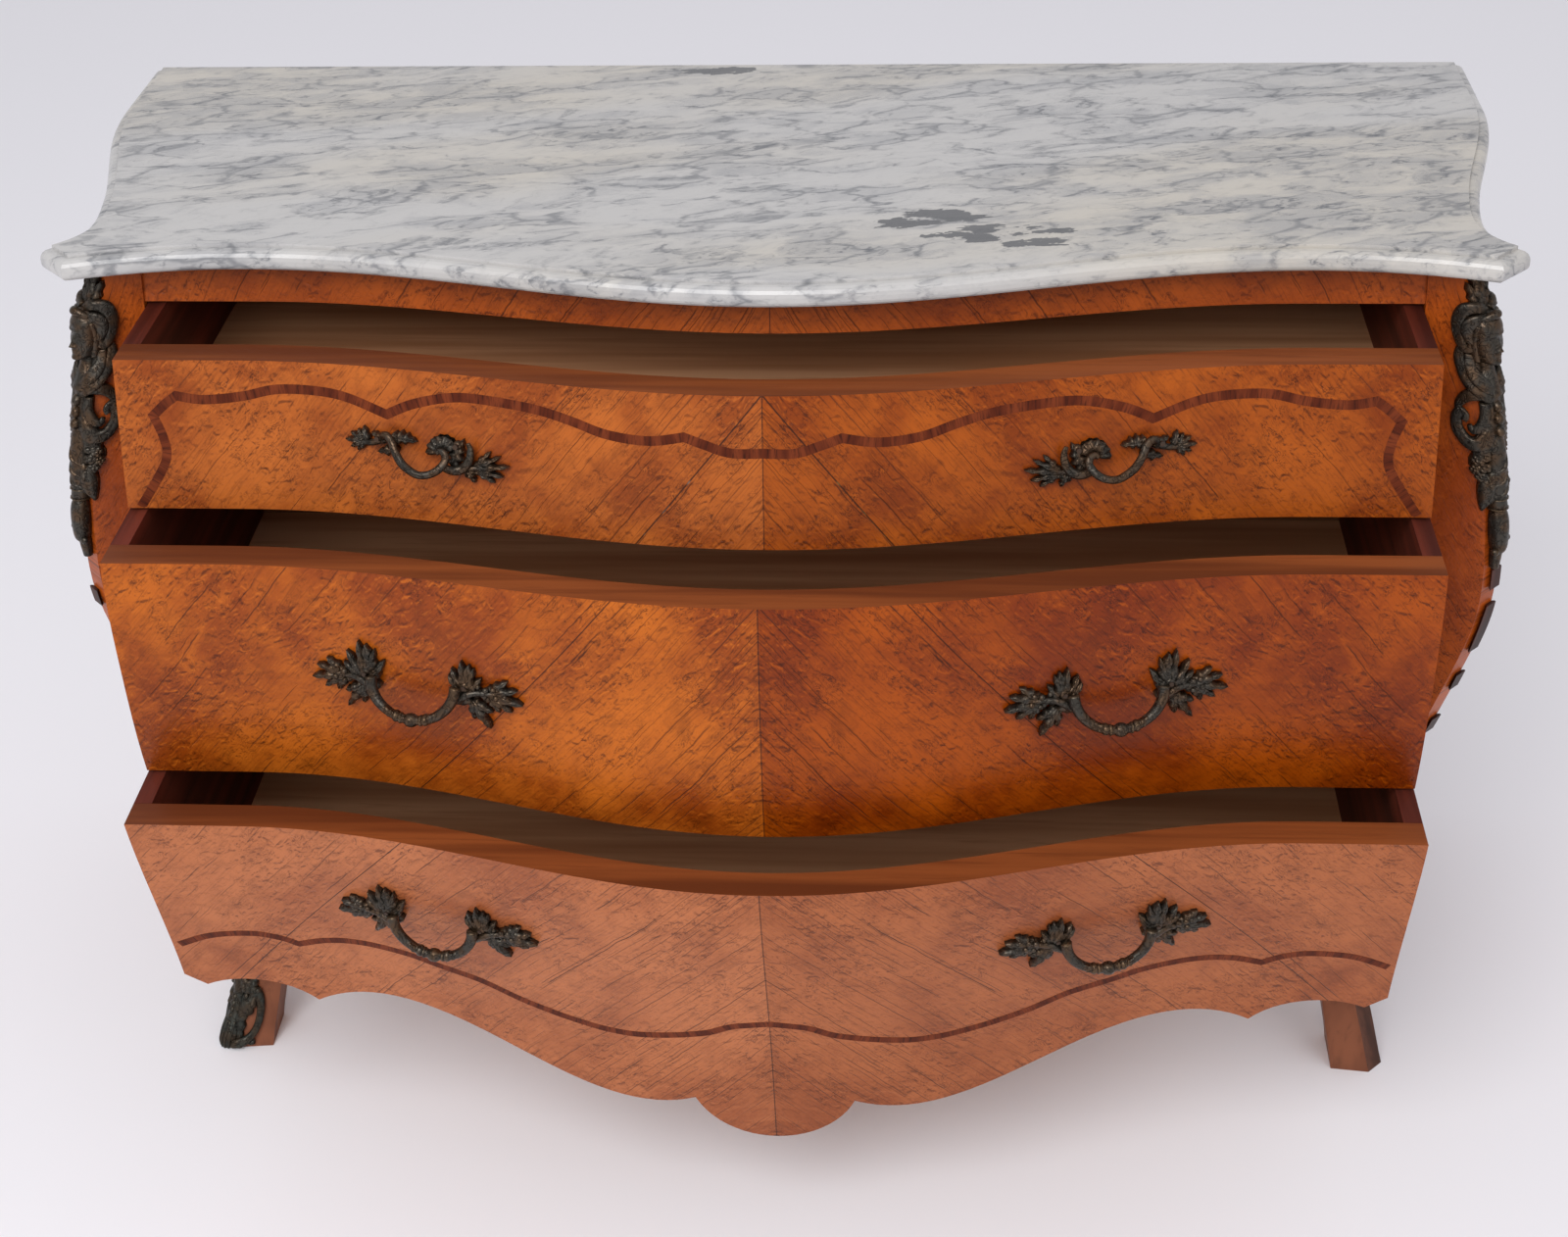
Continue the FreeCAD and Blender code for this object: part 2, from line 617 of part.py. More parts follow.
# Straight boards of the case.
across = ("-" + cell("post_inner"), cell("post_inner"))
rail_box = box("rail_box", (across[0], cell("front_limit"), cell("rail_low")),
               (across[1], cell("back_plane"), cell("slab_low")))
node(common("frieze_rail", front_skin, rail_box), "top_front_rail")
back_rear = "%s - %s" % (cell("back_plane"), cell("case_back"))
back_rail_front = "%s - %s" % (cell("back_face"), cell("back_rail_thick"))
board_low = "%s - %s" % (cell("bottom_low"), cell("board_thick"))
node(box("back_panel", (across[0], cell("back_face"), board_low), (across[1], back_rear, cell("slab_low"))),
     "back_panel")
node(box("back_rail", (across[0], back_rail_front, cell("rail_low")),
         (across[1], cell("back_face"), cell("slab_low"))), "top_back_rail")
node(box("bottom_board", (across[0], cell("board_front"), board_low),
         (across[1], cell("back_face"), cell("bottom_low"))), "bottom_board")


def strips(label, front, back, low, high):
    """Pair of strips on the inner faces of the posts, between a front and a back plane."""
    for name, sign in SIDES:
        near = cell("post_inner") + " - " + cell("runner_width")
        x_low, x_high = sided(sign, near, cell("post_inner"))
        strip = "%s_%s" % (label, name)
        node(box(strip, (x_low, front, low), (x_high, back, high)), strip)


kicker_low = "%s + %s" % (cell("top_high"), cell("slide_gap"))
kicker_high = "%s + %s" % (kicker_low, cell("kicker_height"))
strips("top_kicker", cell("kicker_front"), back_rail_front, kicker_low, kicker_high)
for name in ("top", "middle", "bottom"):
    low = cell(name + "_low")
    strips(name + "_runner", cell(name + "_runner_front"), cell("back_face"), low,
           "%s + %s" % (low, cell("runner_height")))

# Bronze pulls. Each is made in the frame of its place on the front: X along the front,
# Y into the chest and Z up along the front.
LEAF_LOBES = 7
LEAF_LOBE_SHARE = 0.1
LEAF_POINTS = 14


def pull_frame(x, z):
    step = seat_gap
    along = FreeCAD.Vector(2 * step, front_y(x + step, z) - front_y(x - step, z), 0).normalize()
    rise = FreeCAD.Vector(0, front_y(x, z + step) - front_y(x, z - step), 2 * step).normalize()
    inward = rise.cross(along).normalize()
    up = along.cross(inward)
    return FreeCAD.Placement(FreeCAD.Vector(x, front_y(x, z), z), FreeCAD.Rotation(along, inward, up, "XYZ"))


def inward_cylinder(radius, x, start, end):
    """Cylinder into the chest, between two places before (negative) and behind the outer face."""
    return Part.makeCylinder(radius, end - start, FreeCAD.Vector(x, start, 0), FreeCAD.Vector(0, 1, 0))


def leaf_prism(middle, long, tall):
    """Block with the outline of a lobed leaf, drawn in an upper and a lower curve."""
    points = []
    for turn in steps(0, 2 * math.pi, 2 * LEAF_POINTS):
        reach = 1 - LEAF_LOBE_SHARE + LEAF_LOBE_SHARE * math.cos(LEAF_LOBES * turn)
        points.append(FreeCAD.Vector(middle + long * reach * math.cos(turn), -front_thick,
                                     tall * reach * math.sin(turn)))
    upper = points[:LEAF_POINTS + 1]
    lower = points[LEAF_POINTS:-1] + points[:1]
    outline = Part.Wire([spline_edge(upper), spline_edge(lower)])
    return prism(outline, FreeCAD.Vector(0, 2 * front_thick, 0))


def bail(bolt_half, drop):
    """Bow between the bosses, hanging down and out."""
    out = size("boss_reach") - size("bail_radius")
    ends = [FreeCAD.Vector(side * bolt_half, -out, 0) for side in (-1, 1)]
    lowest = FreeCAD.Vector(0, -out - size("bail_reach"), -drop)
    arc = Part.Arc(ends[0], lowest, ends[1])
    start = arc.tangent(arc.FirstParameter)[0]
    ring = Part.Wire([Part.makeCircle(size("bail_radius"), ends[0], start)])
    return Part.Wire([arc.toShape()]).makePipeShell([ring], True, False), lowest


def pull_shape(frame, kind):
    bolt_half = size(kind + "_bolt_half")
    long = size(kind + "_leaf_long")
    tall = size(kind + "_leaf_tall")
    bow, lowest = bail(bolt_half, size(kind + "_drop"))
    cast = bow
    if kind == "spray":
        cast = cast.fuse(Part.makeSphere(size("knop_radius"), lowest, FreeCAD.Vector(1, 0, 0)))
    leaves = []
    start = seat_gap + size("plate_thick") / 2
    for side in (-1, 1):
        cast = cast.fuse(inward_cylinder(size("boss_radius"), side * bolt_half, -size("boss_reach"), -start))
        leaf = leaf_prism(side * (bolt_half + long / 2), long, tall)
        leaf.Placement = frame
        leaves.append(leaf_layer.common(leaf))
    bores = [inward_cylinder(size("screw_radius") + size("screw_clear"), side * bolt_half,
                             -size("screw_bite") - size("screw_clear"), front_thick) for side in (-1, 1)]
    cast.Placement = frame
    for leaf in leaves:
        cast = cast.fuse(leaf)
    for bore in bores:
        bore.Placement = frame
        cast = cast.cut(bore)
    return cast


def screw_shapes(frame, kind):
    """Screws of a pull, and the bores that they need in the drawer front."""
    screws = []
    bores = []
    seat = size("sink_seat")
    for side in (-1, 1):
        x = side * size(kind + "_bolt_half")
        shank = inward_cylinder(size("screw_radius"), x, -size("screw_bite"), seat + size("head_thick"))
        screw = shank.fuse(inward_cylinder(size("head_radius"), x, seat, seat + size("head_thick")))
        bore = inward_cylinder(size("screw_radius") + size("screw_clear"), x, -front_thick, 2 * front_thick)
        bore = bore.fuse(inward_cylinder(size("sink_radius"), x, seat, 2 * front_thick))
        screw.Placement = frame
        bore.Placement = frame
        screws.append(screw)
        bores.append(bore)
    return screws, bores


# Outline of the bottom drawer front, whose lower edge is the apron of the chest.


def apron_prism():
    half = size("drawer_half")
    notch_x = size("notch_half")
    cusp_x = size("cusp_half")
    peak_x = cusp_x - size("arch_run")
    shoulder_x = size("shoulder_half")
    lobe_x = size("lobe_half")
    notch_z = bottom_low - size("apron_notch")
    cusp_z = bottom_low - size("apron_cusp")
    peak_z = cusp_z + size("arch_rise")
    shoulder_z = bottom_low - size("apron_low")
    lobe_z = shoulder_z + size("lobe_rise")
    crown_z = (notch_z + cusp_z) / 2 + size("arch_rise")

    def at(x, z):
        return FreeCAD.Vector(x, size("front_limit"), z)

    edges = [Part.makeLine(at(-half, bottom_high), at(half, bottom_high))]
    for sign in (1, -1):
        corner = at(sign * half, bottom_low)
        notch = at(sign * notch_x, notch_z)
        cusp = at(sign * cusp_x, cusp_z)
        peak = at(sign * peak_x, peak_z)
        shoulder = at(sign * shoulder_x, shoulder_z)
        lobe = at(sign * lobe_x, lobe_z)
        sweep = [cusp, peak, (peak + shoulder) * 0.5, shoulder, lobe]
        edges.append(Part.makeLine(at(sign * half, bottom_high), corner))
        edges.append(Part.makeLine(corner, notch))
        edges.append(Part.Arc(notch, at(sign * (notch_x + cusp_x) / 2, crown_z), cusp).toShape())
        edges.append(spline_edge(sweep))
    edges.append(Part.Arc(at(lobe_x, lobe_z), at(0, apron_bottom), at(-lobe_x, lobe_z)).toShape())
    outline = Part.Wire(Part.__sortEdges__(edges))
    return prism(outline, FreeCAD.Vector(0, back_plane - size("front_limit"), 0))


# Drawers, made closed and then pulled out.


def pulled(part, opening, label):
    part.setExpression("Placement.Base.y", "-" + opening)
    return node(part, label)


def make_drawer(name, kind):
    low = cell(name + "_low")
    high = cell(name + "_high")
    opening = cell(name + "_opening")
    half = cell("drawer_half")
    inside = "%s - %s" % (half, cell("drawer_side_thick"))
    side_low = "%s + %s + %s" % (low, cell("runner_height"), cell("slide_gap"))
    floor_low = "%s + %s" % (side_low, cell("bottom_lift"))
    floor_high = "%s + %s" % (floor_low, cell("drawer_bottom_thick"))
    floor_half = "%s + %s" % (inside, cell("groove_depth"))
    limit = cell("front_limit")
    end = cell("drawer_end")
    back_front = "%s - %s" % (end, cell("drawer_back_thick"))
    floor_box = box(name + "_floor_box", ("-(%s)" % floor_half, limit, floor_low),
                    (floor_half, end, floor_high))

    level = size(name + "_high") - size(name + "_pull_drop")
    screws = []
    bores = []
    for side, sign in SIDES:
        frame = pull_frame(sign * size("pull_half"), level)
        pull = form("%s_%s_pull" % (name, side), pull_shape(frame, kind))
        pulled(pull, opening, "%s_pull_%s" % (name, side))
        pair, pair_bores = screw_shapes(frame, kind)
        screws += pair
        bores += pair_bores
    pulled(form(name + "_screws", Part.makeCompound(screws)), opening, name + "_pull_screws")

    if name == "bottom":
        outline = form("apron_outline", apron_prism())
    else:
        outline = box(name + "_front_box", ("-" + half, limit, low), (half, cell("back_plane"), high))
    blank = common(name + "_front_blank", front_skin, outline)
    groove = common(name + "_front_groove", groove_reach, floor_box)
    grooved = cut(name + "_front_grooved", blank, groove)
    bore_group = form(name + "_front_bores", Part.makeCompound(bores))
    pulled(cut(name + "_front", grooved, bore_group), opening, name + "_drawer_front")

    for side, sign in SIDES:
        x_low, x_high = sided(sign, inside, half)
        board = box("%s_%s_board" % (name, side), (x_low, limit, side_low), (x_high, end, high))
        scribed = common("%s_%s_scribed" % (name, side), behind_front, board)
        grooved_side = cut("%s_%s_side" % (name, side), scribed, floor_box)
        pulled(grooved_side, opening, "%s_drawer_%s_side" % (name, side))
    pulled(common(name + "_floor", bottom_reach, floor_box), opening, name + "_drawer_bottom")
    back_low_corner = ("-(%s)" % inside, "%s - %s" % (back_front, opening), floor_high)
    back_high_corner = (inside, "%s - %s" % (end, opening), "%s - %s" % (high, cell("drawer_back_drop")))
    node(box(name + "_back", back_low_corner, back_high_corner), name + "_drawer_back")


make_drawer("top", "scroll")
make_drawer("middle", "spray")
make_drawer("bottom", "spray")

doc.recompute()
for part in doc.Objects:
    if "Invalid" in part.State or "Error" in part.State:
        raise RuntimeError("object failed: " + part.Name)
for part in nodes:
    if part.Shape.isNull() or not part.Shape.isValid() or not part.Shape.Solids:
        raise RuntimeError("bad shape: " + part.Label)

os.makedirs("parts", exist_ok=True)
for part in nodes:
    part.Shape.exportStep("parts/%s.step" % part.Label)
    print(part.Label, len(part.Shape.Solids), round(part.Shape.Volume))
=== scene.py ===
import math

import bmesh
import bpy
from mathutils import Matrix, Vector
from mathutils.bvhtree import BVHTree


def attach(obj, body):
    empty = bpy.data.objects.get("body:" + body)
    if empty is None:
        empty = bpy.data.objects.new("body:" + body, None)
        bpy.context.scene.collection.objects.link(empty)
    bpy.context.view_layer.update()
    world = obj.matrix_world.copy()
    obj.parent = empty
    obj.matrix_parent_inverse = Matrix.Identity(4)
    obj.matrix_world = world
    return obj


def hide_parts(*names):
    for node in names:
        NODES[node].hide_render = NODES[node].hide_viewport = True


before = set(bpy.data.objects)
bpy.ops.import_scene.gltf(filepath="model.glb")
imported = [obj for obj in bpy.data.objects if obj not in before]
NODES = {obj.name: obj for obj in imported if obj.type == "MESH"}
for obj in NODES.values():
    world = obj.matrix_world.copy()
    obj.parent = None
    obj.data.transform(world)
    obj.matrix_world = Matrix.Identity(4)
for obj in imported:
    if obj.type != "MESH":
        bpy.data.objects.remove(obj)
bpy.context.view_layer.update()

MM = 0.001
OUT = Vector((0, 0, 1))
DRAWERS = ("top", "middle", "bottom")
SIDES = (("left", -1), ("right", 1))


def rgb(red, green, blue):
    """Linear colour of display values from 0 to 255."""
    linear = []
    for channel in (red, green, blue):
        share = channel / 255
        linear.append(share / 12.92 if share < 0.04045 else ((share + 0.055) / 1.055) ** 2.4)
    return (*linear, 1)


SOCKETS = {"normal": "Normal", "metallic": "Metallic", "specular": "Specular IOR Level"}


class Graph:
    """Shader nodes of one material, each input fed by a value or by another node's output."""

    def __init__(self, name):
        self.material = bpy.data.materials.new(name)
        self.material.use_nodes = True
        self.tree = self.material.node_tree
        self.tree.nodes.clear()

    def feed(self, socket, value):
        if isinstance(value, bpy.types.NodeSocket):
            self.tree.links.new(value, socket)
        else:
            socket.default_value = value

    def add(self, kind, inputs, **settings):
        node = self.tree.nodes.new(kind)
        for key, value in settings.items():
            setattr(node, key, value)
        for key, value in inputs.items():
            self.feed(node.inputs[key], value)
        return node

    def place(self):
        """X, Y and Z of the point in the frame of the chest."""
        coordinates = self.add("ShaderNodeTexCoord", {})
        split = self.add("ShaderNodeSeparateXYZ", {0: coordinates.outputs["Object"]})
        return split.outputs[0], split.outputs[1], split.outputs[2]

    def vector(self, x, y, z):
        return self.add("ShaderNodeCombineXYZ", {0: x, 1: y, 2: z}).outputs[0]

    def math(self, operation, first, second=0.0, third=0.0):
        return self.add("ShaderNodeMath", {0: first, 1: second, 2: third}, operation=operation).outputs[0]

    def turned(self, first, second, angle):
        """One coordinate of a pair turned by an angle."""
        part = self.math("MULTIPLY", first, math.cos(angle))
        return self.math("MULTIPLY_ADD", second, math.sin(angle), part)

    def noise(self, vector, scale, detail=2.0, roughness=0.5, distortion=0.0):
        inputs = {"Vector": vector, "Scale": scale, "Detail": detail, "Roughness": roughness,
                  "Distortion": distortion}
        return self.add("ShaderNodeTexNoise", inputs).outputs[0]

    def cells(self, vector, scale, feature="F1"):
        inputs = {"Vector": vector, "Scale": scale}
        return self.add("ShaderNodeTexVoronoi", inputs, feature=feature).outputs["Distance"]

    def ramp(self, value, low, high, start=0.0, end=1.0):
        """Smooth step of a value between two of its levels."""
        inputs = {"Value": value, "From Min": low, "From Max": high, "To Min": start, "To Max": end}
        return self.add("ShaderNodeMapRange", inputs, interpolation_type="SMOOTHSTEP").outputs[0]

    def near(self, value, centre, reach):
        """One where a value lies at a centre, none beyond its reach."""
        distance = self.math("ABSOLUTE", self.math("SUBTRACT", value, centre))
        return self.ramp(distance, 0.35 * reach, reach, 1.0, 0.0)

    def strokes(self, along, across, shift, spacing, width, cover, fade):
        """Thin broken lines along the grain, one at a chance place in each strip of it, that fade out."""
        strips = self.math("DIVIDE", across, spacing)
        strip = self.math("FLOOR", strips)
        chance = self.add("ShaderNodeTexWhiteNoise", {"W": strip}, noise_dimensions="1D").outputs[0]
        place = self.math("MULTIPLY_ADD", chance, 0.7, 0.15)
        line = self.near(self.math("FRACT", strips), place, width / spacing)
        run = self.noise(self.vector(along, self.math("MULTIPLY", strip, 0.37), shift), 15.0, 3.0)
        run = self.math("SUBTRACT", run, self.math("MULTIPLY", fade, 0.3))
        depth = self.math("MULTIPLY_ADD", chance, -0.6, 1.0)
        return self.math("MULTIPLY", self.math("MULTIPLY", line, depth), self.ramp(run, cover, cover + 0.08))

    def mix(self, share, first, second, blend="MIX"):
        node = self.add("ShaderNodeMix", {}, data_type="RGBA", blend_type=blend)
        self.feed(node.inputs[0], share)
        self.feed(node.inputs[6], first)
        self.feed(node.inputs[7], second)
        return node.outputs[2]

    def stain(self, colour, tone, share, strength):
        """A colour with a tone over it, by a share times a strength."""
        return self.mix(self.math("MULTIPLY", share, strength), colour, tone)

    def bump(self, height, distance, strength):
        inputs = {"Height": height, "Distance": distance, "Strength": strength}
        return self.add("ShaderNodeBump", inputs).outputs[0]

    def surface(self, colour, roughness, **others):
        inputs = {"Base Color": colour, "Roughness": roughness}
        for key, value in others.items():
            inputs[SOCKETS[key]] = value
        shader = self.add("ShaderNodeBsdfPrincipled", inputs)
        output = self.add("ShaderNodeOutputMaterial", {})
        self.tree.links.new(shader.outputs[0], output.inputs[0])
        return self.material


# Materials

GRAIN_TURN = math.radians(50)
GRAIN_STRETCH = 0.6
JOINT_WIDTH = 0.0006
SEAM_WIDTH = 0.0007
SEAM_TONE = rgb(45, 20, 12)
CRACK_TONE = rgb(52, 21, 10)
JOINT_TONE = rgb(34, 17, 12)
FILLER_TONE = rgb(112, 102, 92)
FILLER_TOP = 0.74
BLISTER_STEP = 0.0011
WOOD_SHINE = 0.2


class Sheet:
    """Directions and figure of a veneer sheet whose grain falls to both sides of the middle line."""

    def __init__(self, g, shift, wrap):
        self.shift = shift
        self.x, y, self.z = g.place()
        self.half = g.math("ABSOLUTE", self.x)
        round_case = g.math("MULTIPLY_ADD", y, -wrap, self.half)
        self.along = g.turned(g.math("MULTIPLY", round_case, -1.0), self.z, GRAIN_TURN)
        self.across = g.turned(self.z, round_case, GRAIN_TURN)
        self.plain = g.vector(self.along, self.across, shift)
        swing = g.math("MULTIPLY_ADD", g.noise(self.plain, 9.0, 2.0), 0.012, self.across)
        self.wavy = g.math("MULTIPLY_ADD", g.noise(self.plain, 85.0, 1.0), 0.0018, swing)
        self.grain = g.vector(g.math("MULTIPLY", self.along, GRAIN_STRETCH), self.wavy, shift)
        self.cloud = g.noise(self.plain, 8.0, 3.0, 0.6)
        self.mottle = g.noise(self.grain, 46.0, 4.0, 0.65, 1.2)
        self.curl = g.noise(self.grain, 150.0, 3.0, 0.6, 1.8)
        self.clusters = g.ramp(g.noise(self.plain, 18.0, 2.0), 0.36, 0.62, 0.35, 1.0)

    def painted_blister_shading(self, g):
        """Slope of a fine swelling of the figure, used as painted highlight and shade as if lit from one
        side.
        """
        aside_along = g.math("MULTIPLY_ADD", self.along, GRAIN_STRETCH, BLISTER_STEP)
        aside = g.vector(aside_along, g.math("ADD", self.wavy, BLISTER_STEP), self.shift)
        swelling = g.noise(self.grain, 150.0, 3.0, 0.55, 0.6)
        return g.math("SUBTRACT", swelling, g.noise(aside, 150.0, 3.0, 0.55, 0.6))


def burl(g, sheet, light, middle, dark):
    """Clouded ground of burl with its mottle, curls and fibres, and blisters given painted highlight and
    shade.
    """
    colour = g.mix(g.ramp(sheet.cloud, 0.34, 0.66), middle, light)
    colour = g.mix(g.ramp(sheet.mottle, 0.48, 0.76, 0.0, 0.3), colour, dark)
    colour = g.mix(g.ramp(sheet.mottle, 0.26, 0.46, 0.5, 0.0), colour, light)
    colour = g.stain(colour, dark, g.ramp(sheet.curl, 0.55, 0.72, 0.0, 0.5), sheet.clusters)
    painted_blister_shading = sheet.painted_blister_shading(g)
    # Painted shade on one side of each blister and painted highlight on the other, as if lit from one side.
    colour = g.stain(colour, dark, g.ramp(painted_blister_shading, 0.03, 0.17, 0.0, 0.65), sheet.clusters)
    colour = g.stain(colour, light, g.ramp(painted_blister_shading, -0.17, -0.03, 0.7, 0.0), sheet.clusters)
    stretched = g.vector(g.math("MULTIPLY", sheet.along, 0.03), sheet.wavy, sheet.shift)
    fibres = g.noise(stretched, 700.0, 2.0)
    return g.mix(g.ramp(fibres, 0.5, 0.72, 0.0, 0.28), colour, dark)


def burl_eyes(g, sheet, colour, dark):
    """Colour with small dark eyes and squiggles in the clusters of the figure, and the eyes alone."""
    bent = g.math("MULTIPLY_ADD", sheet.curl, 0.008, sheet.wavy)
    cells = g.cells(g.vector(sheet.along, bent, sheet.shift), 170.0)
    eyes = g.math("MULTIPLY", g.ramp(cells, 0.05, 0.3, 1.0, 0.0), sheet.clusters)
    colour = g.stain(colour, dark, eyes, 0.35)
    places = g.ramp(g.noise(sheet.plain, 75.0, 2.0), 0.46, 0.6)
    squiggles = g.math("MULTIPLY", g.near(sheet.curl, 0.5, 0.03), places)
    squiggles = g.math("MULTIPLY", squiggles, sheet.clusters)
    return g.stain(colour, dark, squiggles, 0.7), eyes


def grain_cracks(g, sheet):
    """Fine short strokes and longer ones along the grain."""
    fine = g.strokes(sheet.along, sheet.wavy, sheet.shift, 0.0062, 0.0004, 0.45, sheet.half)
    fade = g.math("MULTIPLY", sheet.half, 0.4)
    long = g.strokes(sheet.along, sheet.wavy, sheet.shift + 0.3, 0.019, 0.0007, 0.45, fade)
    return g.math("MAXIMUM", fine, long)


def joint_colour(g, sheet, filler):
    """Dark joint of two sheets, with patches of grey stopping below a level."""
    patches = g.noise(g.vector(sheet.along, 0.0, sheet.shift), 38.0, 3.0)
    below = g.ramp(sheet.z, FILLER_TOP - 0.01, FILLER_TOP, 1.0, 0.0)
    stopped = g.math("MULTIPLY", g.ramp(patches, 0.5, 0.58, 0.0, filler), below)
    return g.mix(stopped, JOINT_TONE, FILLER_TONE)


def veneer(name, shift, joint, filler, light, middle, dark, right_half_painted_shade, wrap=0.0):
    """Burl veneer, book-matched on the middle line, with a sheet joint along its grain and painted shade on
    its right half.
    """
    g = Graph(name)
    sheet = Sheet(g, shift, wrap)
    colour, eyes = burl_eyes(g, sheet, burl(g, sheet, light, middle, dark), dark)
    cracks = grain_cracks(g, sheet)
    colour = g.stain(colour, CRACK_TONE, cracks, 0.75)
    seam = g.ramp(sheet.half, 0.3 * SEAM_WIDTH, SEAM_WIDTH, 1.0, 0.0)
    colour = g.stain(colour, SEAM_TONE, seam, 0.8)
    gap = g.near(sheet.across, joint, JOINT_WIDTH * (1 + 0.4 * filler))
    colour = g.stain(colour, joint_colour(g, sheet, filler), gap, 0.85)
    # Painted shade: the right leaf of the book match is toned darker and deeper, for the way its flipped
    # grain reflects the light.
    right = g.ramp(sheet.x, -0.0005, 0.0005)
    colour = g.mix(right, colour, g.mix(1.0, colour, right_half_painted_shade, "MULTIPLY"))
    hollow = g.math("MAXIMUM", eyes, g.math("MAXIMUM", cracks, gap))
    relief = g.math("MULTIPLY_ADD", sheet.curl, 1.2, g.math("MULTIPLY", sheet.mottle, 1.5))
    normal = g.bump(g.math("SUBTRACT", relief, hollow), 0.00025, 0.8)
    roughness = g.ramp(sheet.cloud, 0.3, 0.7, 0.3, 0.4)
    return g.surface(colour, roughness, normal=normal, specular=WOOD_SHINE)


def plain_wood(name, light, dark, axis, roughness=0.55, grain=160.0):
    """Straight-grained wood along one axis."""
    g = Graph(name)
    parts = list(g.place())
    parts[axis] = g.math("MULTIPLY", parts[axis], 0.05)
    stretched = g.vector(*parts)
    fibres = g.noise(stretched, grain, 6.0, 0.65, 0.4)
    bands = g.noise(stretched, grain * 0.22, 3.0, 0.6)
    colour = g.mix(g.ramp(bands, 0.34, 0.66), dark, light)
    colour = g.mix(g.ramp(fibres, 0.5, 0.72, 0.0, 0.6), colour, dark)
    normal = g.bump(fibres, 0.0004, 0.5)
    return g.surface(colour, roughness, normal=normal, specular=WOOD_SHINE)


# Stains of the marble: middle (x, y), half length and half width.
STAINS = ((0.108, 0.006, 0.036, 0.012), (0.142, 0.021, 0.046, 0.014), (0.172, -0.006, 0.036, 0.016),
          (0.150, -0.022, 0.040, 0.010), (0.203, -0.030, 0.034, 0.012), (0.222, -0.010, 0.022, 0.012),
          (-0.080, 0.352, 0.046, 0.012))
STAIN_TONE = rgb(84, 85, 88)
TEAR_LONG = 0.11
TEAR_WIDE = 0.044
VEIN_SLANT = 0.16
VEIN_STRETCH = 0.34


def marble_veins(g, colour, bent, smoke, zones):
    """Smoky veins, with threads and flecks between them."""
    grit = g.noise(bent, 150.0, 5.0, 0.7)
    net = g.cells(bent, 46.0, "DISTANCE_TO_EDGE")
    fine_net = g.cells(bent, 105.0, "DISTANCE_TO_EDGE")
    veins = g.math("MULTIPLY", g.ramp(net, 0.0, 0.085, 1.0, 0.0), g.ramp(smoke, 0.44, 0.56))
    colour = g.stain(colour, rgb(98, 100, 105), veins, 0.62)
    threads = g.math("MULTIPLY", g.ramp(fine_net, 0.0, 0.09, 1.0, 0.0), g.ramp(grit, 0.46, 0.6))
    colour = g.stain(colour, rgb(88, 90, 96), threads, g.math("MULTIPLY_ADD", zones, 0.6, 0.12))
    flecks = g.ramp(grit, 0.57, 0.66)
    return g.stain(colour, rgb(92, 94, 99), flecks, g.math("MULTIPLY_ADD", zones, 0.75, 0.06))


def marble_stains(g, colour, torn_x, torn_y):
    """Dark stains with torn edges."""
    for centre_x, centre_y, long, wide in STAINS:
        off_x = g.math("DIVIDE", g.math("SUBTRACT", torn_x, centre_x + TEAR_LONG / 2), long)
        off_y = g.math("DIVIDE", g.math("SUBTRACT", torn_y, centre_y + TEAR_WIDE / 2), wide)
        square = g.math("MULTIPLY_ADD", off_x, off_x, g.math("MULTIPLY", off_y, off_y))
        colour = g.mix(g.ramp(square, 0.4, 0.55, 0.92, 0.0), colour, STAIN_TONE)
    return colour


def marble():
    """Pale marble with a net of smoky veins that slants along the slab, and a few dark stains."""
    g = Graph("marble")
    x, y, z = g.place()
    slant = g.math("MULTIPLY_ADD", x, -VEIN_SLANT, y)
    drawn = g.math("MULTIPLY", x, VEIN_STRETCH)
    level = g.math("MULTIPLY", z, 0.6)
    flat = g.vector(drawn, slant, level)
    sway = g.noise(flat, 13.0, 4.0, 0.6)
    shake = g.noise(flat, 55.0, 4.0, 0.65)
    bent_y = g.math("MULTIPLY_ADD", shake, 0.02, g.math("MULTIPLY_ADD", sway, 0.07, slant))
    bent = g.vector(g.math("MULTIPLY_ADD", shake, 0.016, drawn), bent_y, level)
    smoke = g.noise(bent, 34.0, 8.0, 0.68, 0.3)
    broad = g.noise(flat, 5.0, 2.0)
    zones = g.ramp(g.math("MULTIPLY_ADD", broad, 0.35, smoke), 0.56, 0.82)
    colour = g.mix(g.ramp(broad, 0.4, 0.62), rgb(186, 184, 182), rgb(190, 184, 174))
    colour = g.stain(colour, rgb(138, 139, 143), zones, 0.55)
    colour = marble_veins(g, colour, bent, smoke, zones)
    apart = g.vector(slant, drawn, 0.5)
    torn_x = g.math("MULTIPLY_ADD", g.noise(flat, 70.0, 4.0, 0.6), TEAR_LONG, x)
    torn_y = g.math("MULTIPLY_ADD", g.noise(apart, 85.0, 4.0, 0.6), TEAR_WIDE, y)
    colour = marble_stains(g, colour, torn_x, torn_y)
    return g.surface(colour, g.ramp(smoke, 0.3, 0.7, 0.2, 0.32), specular=0.5)


